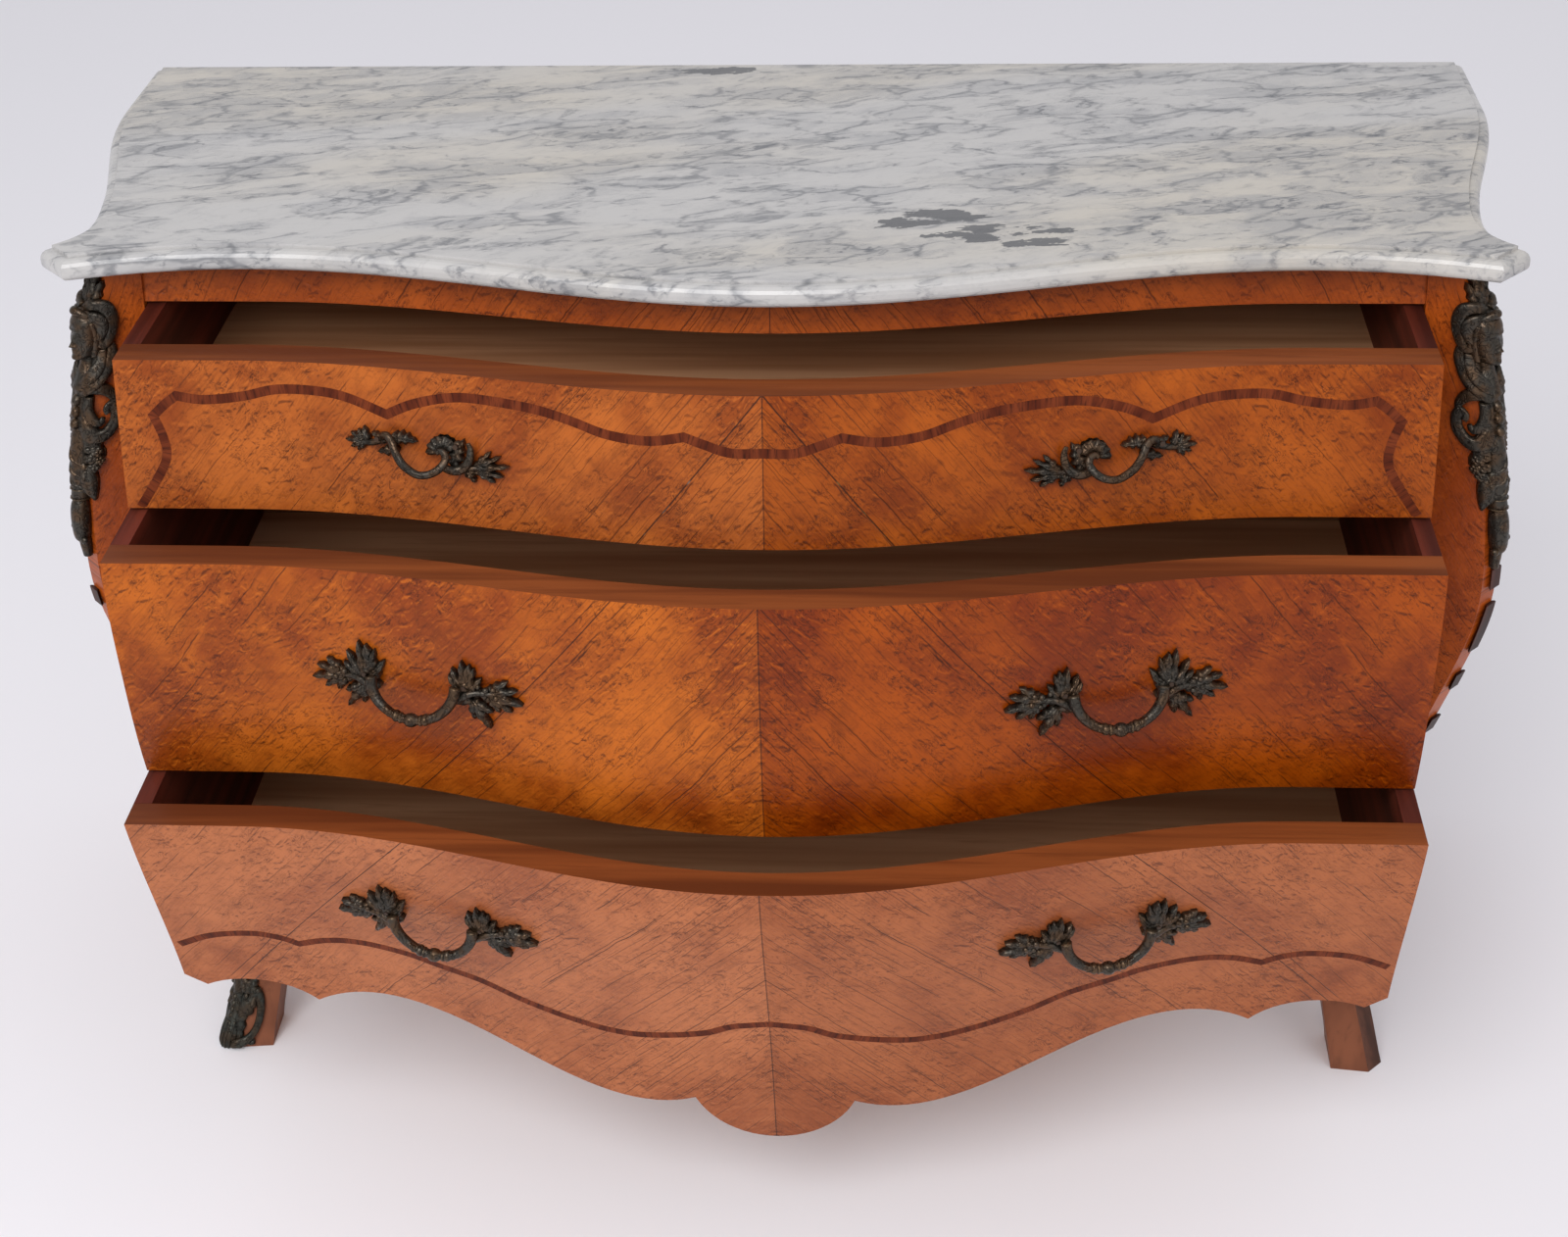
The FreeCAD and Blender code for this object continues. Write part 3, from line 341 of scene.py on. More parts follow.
def bronze(name, dull, warm, rubbed):
    """Dark patinated bronze, brown in its hollows and rubbed on its high places."""
    g = Graph(name)
    point = g.vector(*g.place())
    spots = g.noise(point, 260.0, 4.0, 0.6)
    broad = g.noise(point, 70.0, 3.0)
    geometry = g.add("ShaderNodeNewGeometry", {})
    high = g.math("MULTIPLY_ADD", spots, 0.05, geometry.outputs["Pointiness"])
    colour = g.mix(g.ramp(broad, 0.4, 0.62), dull, warm)
    colour = g.mix(g.ramp(high, 0.57, 0.68, 0.0, 0.45), colour, rubbed)
    colour = g.mix(g.ramp(high, 0.44, 0.52, 0.85, 0.0), colour, rgb(30, 20, 15))
    chased = g.near(g.noise(point, 120.0, 1.0, 0.5, 1.6), 0.5, 0.05)
    colour = g.stain(colour, rgb(24, 18, 14), chased, 0.55)
    roughness = g.ramp(spots, 0.3, 0.7, 0.28, 0.46)
    normal = g.bump(g.math("MULTIPLY_ADD", chased, -1.6, spots), 0.0004, 0.8)
    return g.surface(colour, roughness, normal=normal, metallic=0.8)


def iron():
    g = Graph("iron")
    rust = g.noise(g.vector(*g.place()), 300.0, 4.0)
    colour = g.mix(rust, rgb(60, 56, 52), rgb(86, 62, 46))
    return g.surface(colour, 0.55, metallic=0.8)


def banding():
    """Dark wood laid across a narrow band, in short pieces; U runs along the band."""
    g = Graph("banding")
    coordinates = g.add("ShaderNodeTexCoord", {})
    split = g.add("ShaderNodeSeparateXYZ", {0: coordinates.outputs["UV"]})
    run = g.vector(split.outputs[0], g.math("MULTIPLY", split.outputs[1], 0.08), 0.0)
    stripes = g.noise(run, 330.0, 4.0, 0.7)
    pieces = g.noise(run, 70.0, 1.0)
    colour = g.mix(g.ramp(pieces, 0.4, 0.6), rgb(82, 32, 14), rgb(112, 50, 24))
    colour = g.mix(g.ramp(stripes, 0.45, 0.68), colour, rgb(50, 18, 9))
    return g.surface(colour, 0.5, normal=g.bump(stripes, 0.0002, 0.4), specular=0.1)


def floor_finish():
    g = Graph("floor")
    return g.surface(rgb(240, 239, 243), 0.9)


VENEERS = {
    "top": veneer("veneer_top", shift=0.13, joint=0.5136, filler=1.0, light=rgb(180, 95, 33),
                  middle=rgb(131, 58, 16), dark=rgb(55, 17, 4), right_half_painted_shade=rgb(234, 217, 140)),
    "middle": veneer("veneer_middle", shift=0.47, joint=0.5204, filler=0.0, light=rgb(184, 95, 22),
                     middle=rgb(133, 57, 9), dark=rgb(53, 16, 2), right_half_painted_shade=rgb(218, 193, 78)),
    "bottom": veneer("veneer_bottom", shift=0.81, joint=0.5217, filler=0.0, light=rgb(179, 106, 64),
                     middle=rgb(150, 81, 45), dark=rgb(80, 37, 20), right_half_painted_shade=rgb(238, 230, 220)),
}
CASE_VENEER = veneer("veneer_case", shift=0.29, joint=0.0, filler=0.0, light=rgb(182, 86, 24),
                     middle=rgb(144, 61, 15), dark=rgb(68, 24, 8), right_half_painted_shade=rgb(250, 246, 232), wrap=1.0)
EDGE_WOOD = plain_wood("edge_wood", rgb(134, 70, 33), rgb(94, 45, 20), 0, 0.45)
DRAWER_WOOD = plain_wood("drawer_wood", rgb(104, 44, 30), rgb(62, 24, 17), 1)
CARCASS_WOOD = plain_wood("carcass_wood", rgb(162, 112, 76), rgb(118, 76, 48), 0, 0.7, 110.0)
# Drawer bottoms: pale wood, made lighter still as painted light that brightens the shaded insides of the
# drawers.
DRAWER_FLOOR_WOOD_AND_PAINTED_LIGHT = plain_wood("drawer_floor_wood_painted_light", rgb(222, 166, 124), rgb(184, 126, 86), 0, 0.65, 110.0)
INNER_WOOD = plain_wood("inner_wood", rgb(112, 56, 34), rgb(70, 30, 19), 0, 0.6)
RAIL_WOOD = plain_wood("runner_wood", rgb(128, 92, 62), rgb(84, 56, 36), 1, 0.7, 110.0)
EDGING_WOOD = plain_wood("edging_wood", rgb(70, 32, 20), rgb(38, 16, 11), 2, 0.45)
LEG_WOOD = plain_wood("leg_wood", rgb(134, 80, 54), rgb(96, 54, 36), 2, 0.5, 90.0)
WORN_WOOD = plain_wood("worn_wood", rgb(98, 62, 48), rgb(62, 40, 32), 2, 0.6)
BRONZE = bronze("bronze", rgb(64, 60, 54), rgb(80, 62, 46), rgb(146, 118, 84))
DULL_BRONZE = bronze("dull_bronze", rgb(56, 57, 52), rgb(66, 56, 45), rgb(128, 112, 90))
IRON = iron()
MARBLE = marble()
BANDING = banding()

# How far a face has to be turned to count as a front's top edge, end or underside, or as a leg's worn
# corner, and the level where the legs begin.
EDGE_TOP = 0.75
EDGE_END = 0.95
EDGE_UNDER = 0.9
WORN_FACING = 0.9
LEG_TOP = 0.2255


def dress(node, *materials):
    """Give a node of the frame its materials."""
    slots = NODES[node].data.materials
    slots.clear()
    for material in materials:
        slots.append(material)


def dress_front(node, outer):
    """Veneer on the outer face of a front, solid wood on its edges and its back."""
    dress(node, outer, EDGE_WOOD, INNER_WOOD)
    for polygon in NODES[node].data.polygons:
        normal = polygon.normal
        if normal.z > EDGE_TOP or abs(normal.x) > EDGE_END or normal.z < -EDGE_UNDER:
            polygon.material_index = 1
        elif normal.y < 0:
            polygon.material_index = 0
        else:
            polygon.material_index = 2


def dress_post(node, sign):
    """Veneer on a post, plain wood on its leg and a worn cut corner on a front leg."""
    dress(node, CASE_VENEER, LEG_WOOD, WORN_WOOD)
    data = NODES[node].data
    outward = Vector((sign, -1, 0)).normalized()
    for polygon in data.polygons:
        if max(data.vertices[k].co.z for k in polygon.vertices) > LEG_TOP:
            polygon.material_index = 0
        elif Vector((polygon.normal.x, polygon.normal.y, 0)).normalized().dot(outward) > WORN_FACING:
            polygon.material_index = 2
        else:
            polygon.material_index = 1


def dress_frame():
    dress("marble_top", MARBLE)
    for side, sign in SIDES:
        dress_post("front_%s_post" % side, sign)
        dress_post("back_%s_post" % side, sign)
        dress("%s_side_panel" % side, CASE_VENEER)
        dress("corner_edging_" + side, EDGING_WOOD)
        dress("corner_mount_" + side, BRONZE)
        dress("top_kicker_" + side, RAIL_WOOD)
        for drawer in DRAWERS:
            dress("%s_runner_%s" % (drawer, side), RAIL_WOOD)
            dress("%s_drawer_%s_side" % (drawer, side), DRAWER_WOOD)
            dress("%s_pull_%s" % (drawer, side), BRONZE)
    dress("sabot_left", BRONZE)
    dress("mount_pins", IRON)
    for board in ("back_panel", "top_back_rail", "bottom_board"):
        dress(board, CARCASS_WOOD)
    dress_front("top_front_rail", CASE_VENEER)
    for drawer in DRAWERS:
        dress(drawer + "_pull_screws", IRON)
        dress(drawer + "_drawer_bottom", DRAWER_FLOOR_WOOD_AND_PAINTED_LIGHT)
        dress(drawer + "_drawer_back", CARCASS_WOOD)
        dress_front(drawer + "_drawer_front", VENEERS[drawer])


# Curves and cast shapes. Local places are in millimetres: across, up and out from a surface.

SEAT = 0.35
BEAD_RINGS = 8
BEAD_SIDES = 12
SHELL_RINGS = 8
SHELL_LIFT = 4.0
LEAF_SHARES = (-1, -0.8, -0.5, -0.2, 0, 0.2, 0.5, 0.8, 1)


def smooth_run(rows, count):
    """Smooth run through rows of numbers."""
    last = len(rows) - 1
    run = []
    for index in range(count + 1):
        place = index / count * last
        k = min(int(place), last - 1)
        t = place - k
        corners = (rows[max(k - 1, 0)], rows[k], rows[k + 1], rows[min(k + 2, last)])
        row = []
        for a, b, c, d in zip(*corners):
            cubic = (2 * a - 5 * b + 4 * c - d) * t * t + (3 * b - a - 3 * c + d) * t ** 3
            row.append(0.5 * (2 * b + (c - a) * t + cubic))
        run.append(row)
    return run


def tree_of(node):
    data = NODES[node].data
    points = [vertex.co.copy() for vertex in data.vertices]
    return BVHTree.FromPolygons(points, [tuple(polygon.vertices) for polygon in data.polygons])


def mesh_data(name, mesh, material):
    """Mesh in one material, from a bmesh that is then let go."""
    data = bpy.data.meshes.new(name)
    mesh.to_mesh(data)
    mesh.free()
    data.materials.append(material)
    return data


class Casting:
    """Bronze piece put together from closed shapes in local places."""

    def __init__(self, place, metal):
        self.mesh = bmesh.new()
        self.place = place
        self.metal = metal
        self.seat = lambda across: SEAT

    def skin(self, rings):
        """Close a run of rings into a solid."""
        loops = []
        for ring in rings:
            loop = []
            for across, up, out in ring:
                spot = self.place(across, up, max(out, self.seat(across)))
                loop.append(self.mesh.verts.new(spot))
            loops.append(loop)
        count = len(loops[0])
        for low, high in zip(loops, loops[1:]):
            for k in range(count):
                after = (k + 1) % count
                self.mesh.faces.new((low[k], low[after], high[after], high[k]))
        self.mesh.faces.new(loops[0][::-1])
        self.mesh.faces.new(loops[-1])

    def tube(self, rows, count=24, sides=12, groove=0.0):
        """Round band through rows of (across, up, out, radius), hollowed down its outer face."""
        path = smooth_run(rows, count)
        rings = []
        for index, row in enumerate(path):
            middle = Vector(row[:3])
            radius = max(row[3], 0.2)
            ahead = Vector(path[min(index + 1, count)][:3]) - Vector(path[max(index - 1, 0)][:3])
            side = ahead.cross(OUT)
            if side.length < 1e-6:
                side = Vector((1, 0, 0))
            side.normalize()
            rise = side.cross(ahead).normalized()
            ring = []
            for k in range(sides):
                turn = 2 * math.pi * k / sides
                hollow = 1 - groove * max(math.sin(turn), 0) ** 4
                lift = rise * (math.sin(turn) * radius * hollow)
                ring.append(middle + side * (math.cos(turn) * radius) + lift)
            rings.append(ring)
        self.skin(rings)

    def leaf(self, base, tip, width, lobes=4, lift=4.0, bend=0.0, depth=0.35, thick=1.6, seat=True,
             blunt=0.8):
        """Lobed leaf from its base to its tip, puffed between its veins, with a hollow midrib."""
        start = Vector(base)
        axis = Vector(tip) - start
        side = axis.cross(OUT).normalized()
        rows = 7 * lobes
        rings = []
        for i in range(rows + 1):
            s = i / rows
            body = math.sin(math.pi * min(0.06 + 0.94 * s ** 0.85, 0.985)) ** blunt * (1.08 - 0.3 * s)
            lobe = 0.5 - 0.5 * math.cos(2 * math.pi * lobes * s)
            half = max(width * body * (1 - depth + depth * lobe), 0.25)
            centre = start + axis * s + side * (bend * math.sin(math.pi * s))
            top = []
            under = []
            for t in LEAF_SHARES:
                puff = 0.9 * lobe * (1 - abs(2 * abs(t) - 1.1))
                rib = -0.8 * math.exp(-(t / 0.14) ** 2)
                arch = lift * math.sin(math.pi * (0.12 + 0.8 * s)) * (1 - 0.7 * t * t)
                level = centre.z + max(thick * 0.5 + arch + puff + rib, 0.4)
                point = centre + side * (t * half)
                top.append(Vector((point.x, point.y, level)))
                low = SEAT if seat else level - thick
                under.append(Vector((point.x, point.y, low)))
            rings.append(top + under[::-1])
        self.skin(rings)

    def bead(self, middle, radius, long=1.0, axis=(1, 0, 0)):
        """Round or drawn-out bead on an axis."""
        axis = Vector(axis).normalized()
        side = axis.orthogonal().normalized()
        other = axis.cross(side)
        loops = []
        for k in range(BEAD_RINGS + 1):
            turn = math.pi * (0.03 + 0.94 * k / BEAD_RINGS)
            centre = Vector(middle) - axis * (radius * long * math.cos(turn))
            reach = radius * math.sin(turn)
            loop = []
            for j in range(BEAD_SIDES):
                angle = 2 * math.pi * j / BEAD_SIDES
                loop.append(centre + side * (reach * math.cos(angle)) + other * (reach * math.sin(angle)))
            loops.append(loop)
        self.skin(loops)

    def shell(self, middle, inner, outer, start, end, ribs):
        """Fan of ribs round a middle, between two angles in degrees."""
        count = 4 * ribs
        rings = []
        for k in range(SHELL_RINGS + 1):
            share = k / SHELL_RINGS
            top = []
            under = []
            for j in range(count + 1):
                wave = 0.5 + 0.5 * math.cos(2 * math.pi * ribs * (j / count - 0.5 / ribs))
                angle = math.radians(start + (end - start) * j / count)
                reach = inner + (outer - inner) * share * (0.9 + 0.1 * wave)
                x = middle[0] + reach * math.cos(angle)
                y = middle[1] + reach * math.sin(angle)
                arch = SHELL_LIFT * math.sin(math.pi * (0.2 + 0.75 * share))
                level = middle[2] + arch + 1.5 * wave * share
                top.append(Vector((x, y, level)))
                under.append(Vector((x, y, SEAT)))
            rings.append(top + under[::-1])
        self.skin(rings)

    def finish(self, name, body, nodes):
        bmesh.ops.recalc_face_normals(self.mesh, faces=self.mesh.faces[:])
        data = mesh_data(name, self.mesh, self.metal)
        for polygon in data.polygons:
            polygon.use_smooth = True
        add_piece(name, data, body, nodes)


def add_piece(name, data, body, nodes):
    piece = bpy.data.objects.new(name, data)
    bpy.context.scene.collection.objects.link(piece)
    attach(piece, body)
    if nodes:
        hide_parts(*nodes)


# Pulls

FAR_FRONT = -2.0
INWARD = Vector((0, 1, 0))


def front_hit(tree, x, z):
    """Place on a drawer front, straight in from before the chest."""
    return tree.ray_cast(Vector((x, FAR_FRONT, z)), INWARD)[0]


class FrontPlace:
    """Places on a drawer front round the middle of a pull."""

    STEP = 0.004
    AWAY = 0.15
    REACH = 0.4

    def __init__(self, tree, x, z):
        self.tree = tree
        step = self.STEP
        self.middle = front_hit(tree, x, z)
        self.across = (front_hit(tree, x + step, z) - front_hit(tree, x - step, z)).normalized()
        rise = (front_hit(tree, x, z + step) - front_hit(tree, x, z - step)).normalized()
        self.out = self.across.cross(rise).normalized()
        self.up = self.out.cross(self.across)

    def at(self, u, v, w):
        spot = self.middle + (self.across * u + self.up * v) * MM
        hit = self.tree.ray_cast(spot + self.out * self.AWAY, -self.out, self.REACH)[0]
        return (hit or spot) + self.out * (w * MM)


def mirrored(place):
    return lambda u, v, w: place(-u, v, w)


BOW_STEPS = 12


def bow(cast, bolt_half, drop, out, reach, radius):
    """Bail that hangs from its two ends, down and out."""
    rows = []
    for k in range(BOW_STEPS + 1):
        angle = math.pi * k / BOW_STEPS
        sag = math.sin(angle)
        thick = radius * (1.25 - 0.25 * sag)
        rows.append((-bolt_half * math.cos(angle), -drop * sag, out + reach * sag, thick))
    cast.tube(rows, 48, 12)


def turned_to(base, angle, length, out):
    """Place at an angle in degrees and a length from a base."""
    turn = math.radians(angle)
    return (base[0] + length * math.cos(turn), base[1] + length * math.sin(turn), out)


def palmette(cast, base, angle, length, spread, count, width, lift):
    """Fan of blunt leaf fingers, the middle ones longest."""
    for k in range(count):
        share = 2 * k / (count - 1) - 1
        reach = length * (1 - 0.32 * abs(share))
        tip = turned_to(base, angle + spread * share, reach, 1.6 + 1.4 * (1 - abs(share)))
        cast.leaf(base, tip, width, 3, lift + 1.2 * (1 - abs(share)), depth=0.4, blunt=0.5)


BERRIES = ((60, -1, 7.5, 2.7), (66, 0, 7, 2.4), (68, -7, 7.5, 2.6), (75, -6, 6, 2.1), (61, -10, 7, 2.3),
           (53, 0, 6, 2.2))


def spray(cast, way, lean, tall):
    """Leaves and berries at one end of a leaf pull."""
    if way < 0:
        outer = cast.place
        cast.place = mirrored(outer)
    cast.leaf((38, -19, 5), (43 - 0.3 * lean, tall - 12, 3), 9.0, 4, 5.0, depth=0.5, blunt=0.5)
    palmette(cast, (42, -9, 4), 88 - lean, tall, 46, 5, 4.8, 5.0)
    cast.leaf((40, -10, 6), (28, 7, 4), 4.4, 3, 4.0, depth=0.45, blunt=0.6)
    fall = -13 + 0.3 * lean
    cast.leaf((46, -6, 3), turned_to((58, -5), fall, 22, 2), 6.5, 4, 3.5, depth=0.5, blunt=0.5)
    palmette(cast, (60, -5, 3), fall, 30, 50, 5, 4.8, 4.0)
    palmette(cast, (46, -14, 3), -57 + 0.5 * lean, 29, 28, 3, 4.8, 4.5)
    cast.tube([(36, -14, 9, 3.6), (42, -8, 10, 3.4), (50, -5, 8, 2.8), (62, -5, 6, 2.2),
               (78, -8, 4, 1.4)], 24)
    for u, v, w, radius in BERRIES:
        cast.bead((u, v, w), radius)
    cast.bead((42, 0, 7), 4.8, 0.9, (0, 0, 1))
    if way < 0:
        cast.place = outer


def leaf_pull(place):
    cast = Casting(place, BRONZE)
    spray(cast, -1, 6, 36)
    spray(cast, 1, -8, 29)
    bow(cast, bolt_half=36, drop=29, out=11.8, reach=12, radius=3.9)
    cast.bead((0, -29, 23.8), 6.0, 1.1)
    for way in (-1, 1):
        cast.bead((way * 8.6, -28.2, 23.5), 4.9, 0.5)
        cast.bead((way * 12.4, -27.2, 23.0), 5.2, 0.75)
        cast.leaf((way * 15, -25.6, 25), (way * 24, -20, 21), 4.2, 2, 2.0, thick=2.0, seat=False)
    return cast


def scroll_pull(place):
    """Pull of scrolls: a leafy stem that dips into a bow and curls up under a shell."""
    cast = Casting(place, BRONZE)
    cast.tube([(-30, -3, 7, 2.4), (-29, 2, 9, 2.9), (-25, 4, 11, 3.2), (-20, 0, 13, 3.3), (-16, -7, 16, 3.3),
               (-9, -15, 20, 3.5), (0, -20, 23, 3.3), (7, -22, 24, 3.2), (15, -21, 23, 3.2),
               (22, -17, 20, 3.3), (26, -11, 16, 3.3), (25, -6, 14, 3.1), (21, -4, 13, 2.6),
               (18, -6, 13, 2.0)], 84, 12, 0.2)
    cast.tube([(-27, 0, 7, 2.8), (-38, -4, 6, 2.8), (-48, -5, 4, 2.4), (-60, -4, 3, 1.6)], 20)
    palmette(cast, (-45, -4, 3), 178, 17, 50, 5, 3.4, 3.0)
    cast.leaf((-43, -4, 4), (-47, 8, 2), 3.6, 2, 3.5, blunt=0.6)
    cast.leaf((-26, -3, 4), (-40, 4, 3), 4.6, 3, 4.0, depth=0.45)
    cast.leaf((-23, 2, 8), (-2, -1, 3), 6.2, 4, 4.0, -1.0, depth=0.45)
    cast.leaf((-17, -8, 6), (-36, -12, 2), 5.2, 3, 3.5, depth=0.45)
    cast.shell((20, -7, 5), inner=3, outer=14, start=15, end=195, ribs=7)
    cast.leaf((28, -18, 5), (37, 5, 3), 7.0, 4, 4.0, depth=0.45)
    cast.tube([(24, -17, 14, 3.2), (31, -20, 10, 3.6), (38, -18, 8, 3.9), (43, -11, 8, 3.5),
               (44, -3, 7, 2.7), (42, 3, 7, 1.6)], 28, 12, 0.3)
    palmette(cast, (46, -18, 3), 8, 29, 40, 5, 3.8, 4.0)
    palmette(cast, (41, -19, 3), -62, 12, 44, 3, 3.8, 3.0)
    cast.tube([(40, -18, 6, 2.8), (52, -17, 5, 2.4), (66, -15, 4, 1.6)], 16)
    for way in (-1, 1):
        cast.bead((way * 33, 0, 5), 4.2, 1.0, (0, 0, 1))
    return cast


PULL_HALF = 0.274
PULL_LEVELS = {"top": 0.744, "middle": 0.589, "bottom": 0.378}


def add_pulls():
    for drawer in DRAWERS:
        tree = tree_of(drawer + "_drawer_front")
        for side, sign in SIDES:
            spot = FrontPlace(tree, sign * PULL_HALF, PULL_LEVELS[drawer])
            place = spot.at if sign < 0 else mirrored(spot.at)
            cast = scroll_pull(place) if drawer == "top" else leaf_pull(place)
            node = "%s_pull_%s" % (drawer, side)
            cast.finish("cast_" + node, drawer + "_drawer", (node,))


# Corner mounts and sabot


class Corner:
    """Places round the corner of a front post: across from its ridge, down from a level, and out."""

    # Half width of the cut corner and of the rays' fan in millimetres; levels and distances in metres.
    CANT_HALF = 9.9
    SCAN_HALF = 110
    CANT_DEPTH = 0.0006
    STEP = 0.008
    LOWEST = 0.001
    HIGHEST = 0.839
    AXIS_X = 0.57
    AXIS_Y = -0.04
    FAR = 0.4
    AWAY = 0.03
    REACH = 0.09

    def __init__(self, node, sign, low, high):
        self.tree = tree_of(node)
        self.sign = sign
        self.high = high
        self.out = Vector((sign, -1, 0)).normalized()
        self.side = Vector((-sign, -1, 0)).normalized()
        self.low = low - self.STEP
        self.ridges = []
        level = self.low
        while level < high + 2 * self.STEP:
            self.ridges.append(self.ridge(min(max(level, self.LOWEST), self.HIGHEST), level))
            level += self.STEP

    def ridge(self, cut, level):
        """Middle of the cut corner at a level: the middle of the hits that lie farthest out."""
        centre = Vector((self.sign * self.AXIS_X, self.AXIS_Y, cut))
        hits = []
        for k in range(-self.SCAN_HALF, self.SCAN_HALF + 1):
            origin = centre + self.side * (k * MM) + self.out * self.FAR
            hit = self.tree.ray_cast(origin, -self.out, 2 * self.FAR)[0]
            if hit is not None:
                hits.append((hit.dot(self.out), hit))
        farthest = max(hits, key=lambda row: row[0])[0]
        outer = [hit for reach, hit in hits if reach > farthest - self.CANT_DEPTH]
        middle = sum(outer, Vector()) / len(outer)
        return Vector((middle.x, middle.y, level))

    def spine(self, level):
        place = (level - self.low) / self.STEP
        k = min(max(int(place), 0), len(self.ridges) - 2)
        return self.ridges[k].lerp(self.ridges[k + 1], place - k)

    def straight(self, u, v, w):
        """Place in the plane across the diagonal, for shapes that don't bend round the corner."""
        middle = self.spine(self.high - v * MM)
        return middle + (self.side * u + self.out * w) * MM

    def wrapped(self, u, v, w):
        """Place on the faces beside the corner."""
        middle = self.spine(self.high - v * MM)
        reach = abs(u)
        face = Vector((0, -1, 0)) if u > 0 else Vector((self.sign, 0, 0))
        run = Vector((-self.sign, 0, 0)) if u > 0 else Vector((0, 1, 0))
        share = min(max((reach / self.CANT_HALF - 0.5) / 1.4, 0), 1)
        share = share * share * (3 - 2 * share)
        out = self.out.lerp(face, share).normalized()
        near = min(reach, self.CANT_HALF)
        spot = middle + self.side * (math.copysign(near, u) * MM) + run * ((reach - near) * MM)
        hit = self.tree.ray_cast(spot + out * self.AWAY, -out, self.REACH)[0]
        return (hit or spot) + out * (w * MM)


def on_side(way):
    """Places on one side of a ridge, each with its radius if it has one."""
    return lambda u, v, w, *radius: (way * u, v, w) + radius


def stand_straight(cast, corner):
    """Put what a casting gets next across the diagonal, with its edges drawn in beside the cut corner."""
    cast.place = corner.straight
    cast.seat = lambda across: SEAT - max(abs(across) - Corner.CANT_HALF, 0)


def hump(distance, width):
    """Smooth rise to one at no distance."""
    return math.exp(-(distance / width) ** 2)


def between_rows(rows, place):
    """Value at a place in rows of (place, value)."""
    for (start, first), (end, second) in zip(rows, rows[1:]):
        if place <= end:
            return first + (second - first) * (place - start) / (end - start)
    return rows[-1][1]


# Head, in shares of its height: chin at none, crown at one.
FACE_FRONT = ((0, 0.1), (0.03, 0.25), (0.08, 0.28), (0.14, 0.268), (0.2, 0.285), (0.27, 0.283), (0.4, 0.298),
              (0.5, 0.302), (0.57, 0.332), (0.7, 0.342), (0.82, 0.31), (0.93, 0.2), (1, 0.03))
FACE_HALF = ((0, 0.07), (0.05, 0.16), (0.12, 0.225), (0.25, 0.275), (0.42, 0.31), (0.6, 0.308), (0.75, 0.29),
             (0.88, 0.22), (0.96, 0.13), (1, 0.02))
HEAD_RINGS = 72
HEAD_SIDES = 60


def features(x, h):
    """Relief of a calm, even face, by distance from its middle and height."""
    side = abs(x)
    relief = -0.036 * hump(side - 0.13, 0.06) * hump(h - 0.5, 0.045)
    relief += 0.024 * hump(side - 0.13, 0.045) * hump(h - 0.485, 0.024)
    relief += 0.014 * hump(side - 0.12, 0.09) * hump(h - 0.58, 0.03)
    reach = min(max((0.56 - h) / 0.27, 0), 1)
    under = min(max((h - 0.255) / 0.03, 0), 1)
    relief += (0.02 + 0.085 * reach) * reach * under * hump(x, 0.036 + 0.014 * reach)
    relief += 0.028 * hump(side - 0.05, 0.026) * hump(h - 0.29, 0.022)
    relief += 0.03 * hump(x, 0.075) * (hump(h - 0.207, 0.015) + hump(h - 0.163, 0.017))
    relief += 0.03 * hump(x, 0.08) * hump(h - 0.06, 0.045)
    relief += 0.014 * hump(side - 0.17, 0.07) * hump(h - 0.34, 0.08)
    return relief


def head(cast, crown, chin, out):
    """Head that looks out along the diagonal."""
    tall = chin - crown
    rings = []
    for k in range(HEAD_RINGS + 1):
        h = k / HEAD_RINGS
        front = between_rows(FACE_FRONT, h)
        half = between_rows(FACE_HALF, h)
        ring = []
        for j in range(HEAD_SIDES):
            share = 2 * j / HEAD_SIDES - 1
            turn = math.pi * share * (0.55 + 0.45 * share * share)
            x = half * math.copysign(abs(math.sin(turn)) ** 0.9, turn)
            facing = math.cos(turn)
            w = math.copysign(front * abs(facing) ** 0.85, facing)
            if facing > 0:
                w += features(x, h) * min(1, 2 * facing)
            ring.append(Vector((x * tall, chin - h * tall, out + w * tall)))
        rings.append(ring)
    cast.skin(rings)


PETALS = 5
FLOWERS = ((11, 149, 3.2), (16, 152, 3.4), (12, 158, 3.4), (18, 160, 3.0), (14, 166, 3.2), (10, 169, 2.8))


def flower(cast, middle, radius):
    """Small rose of five petals."""
    u, v, w = middle
    for k in range(PETALS):
        turn = 2 * math.pi * k / PETALS
        cast.bead((u + 0.75 * radius * math.cos(turn), v + 0.75 * radius * math.sin(turn), w), 0.66 * radius)
    cast.bead((u, v, w + 1.4), 0.55 * radius)


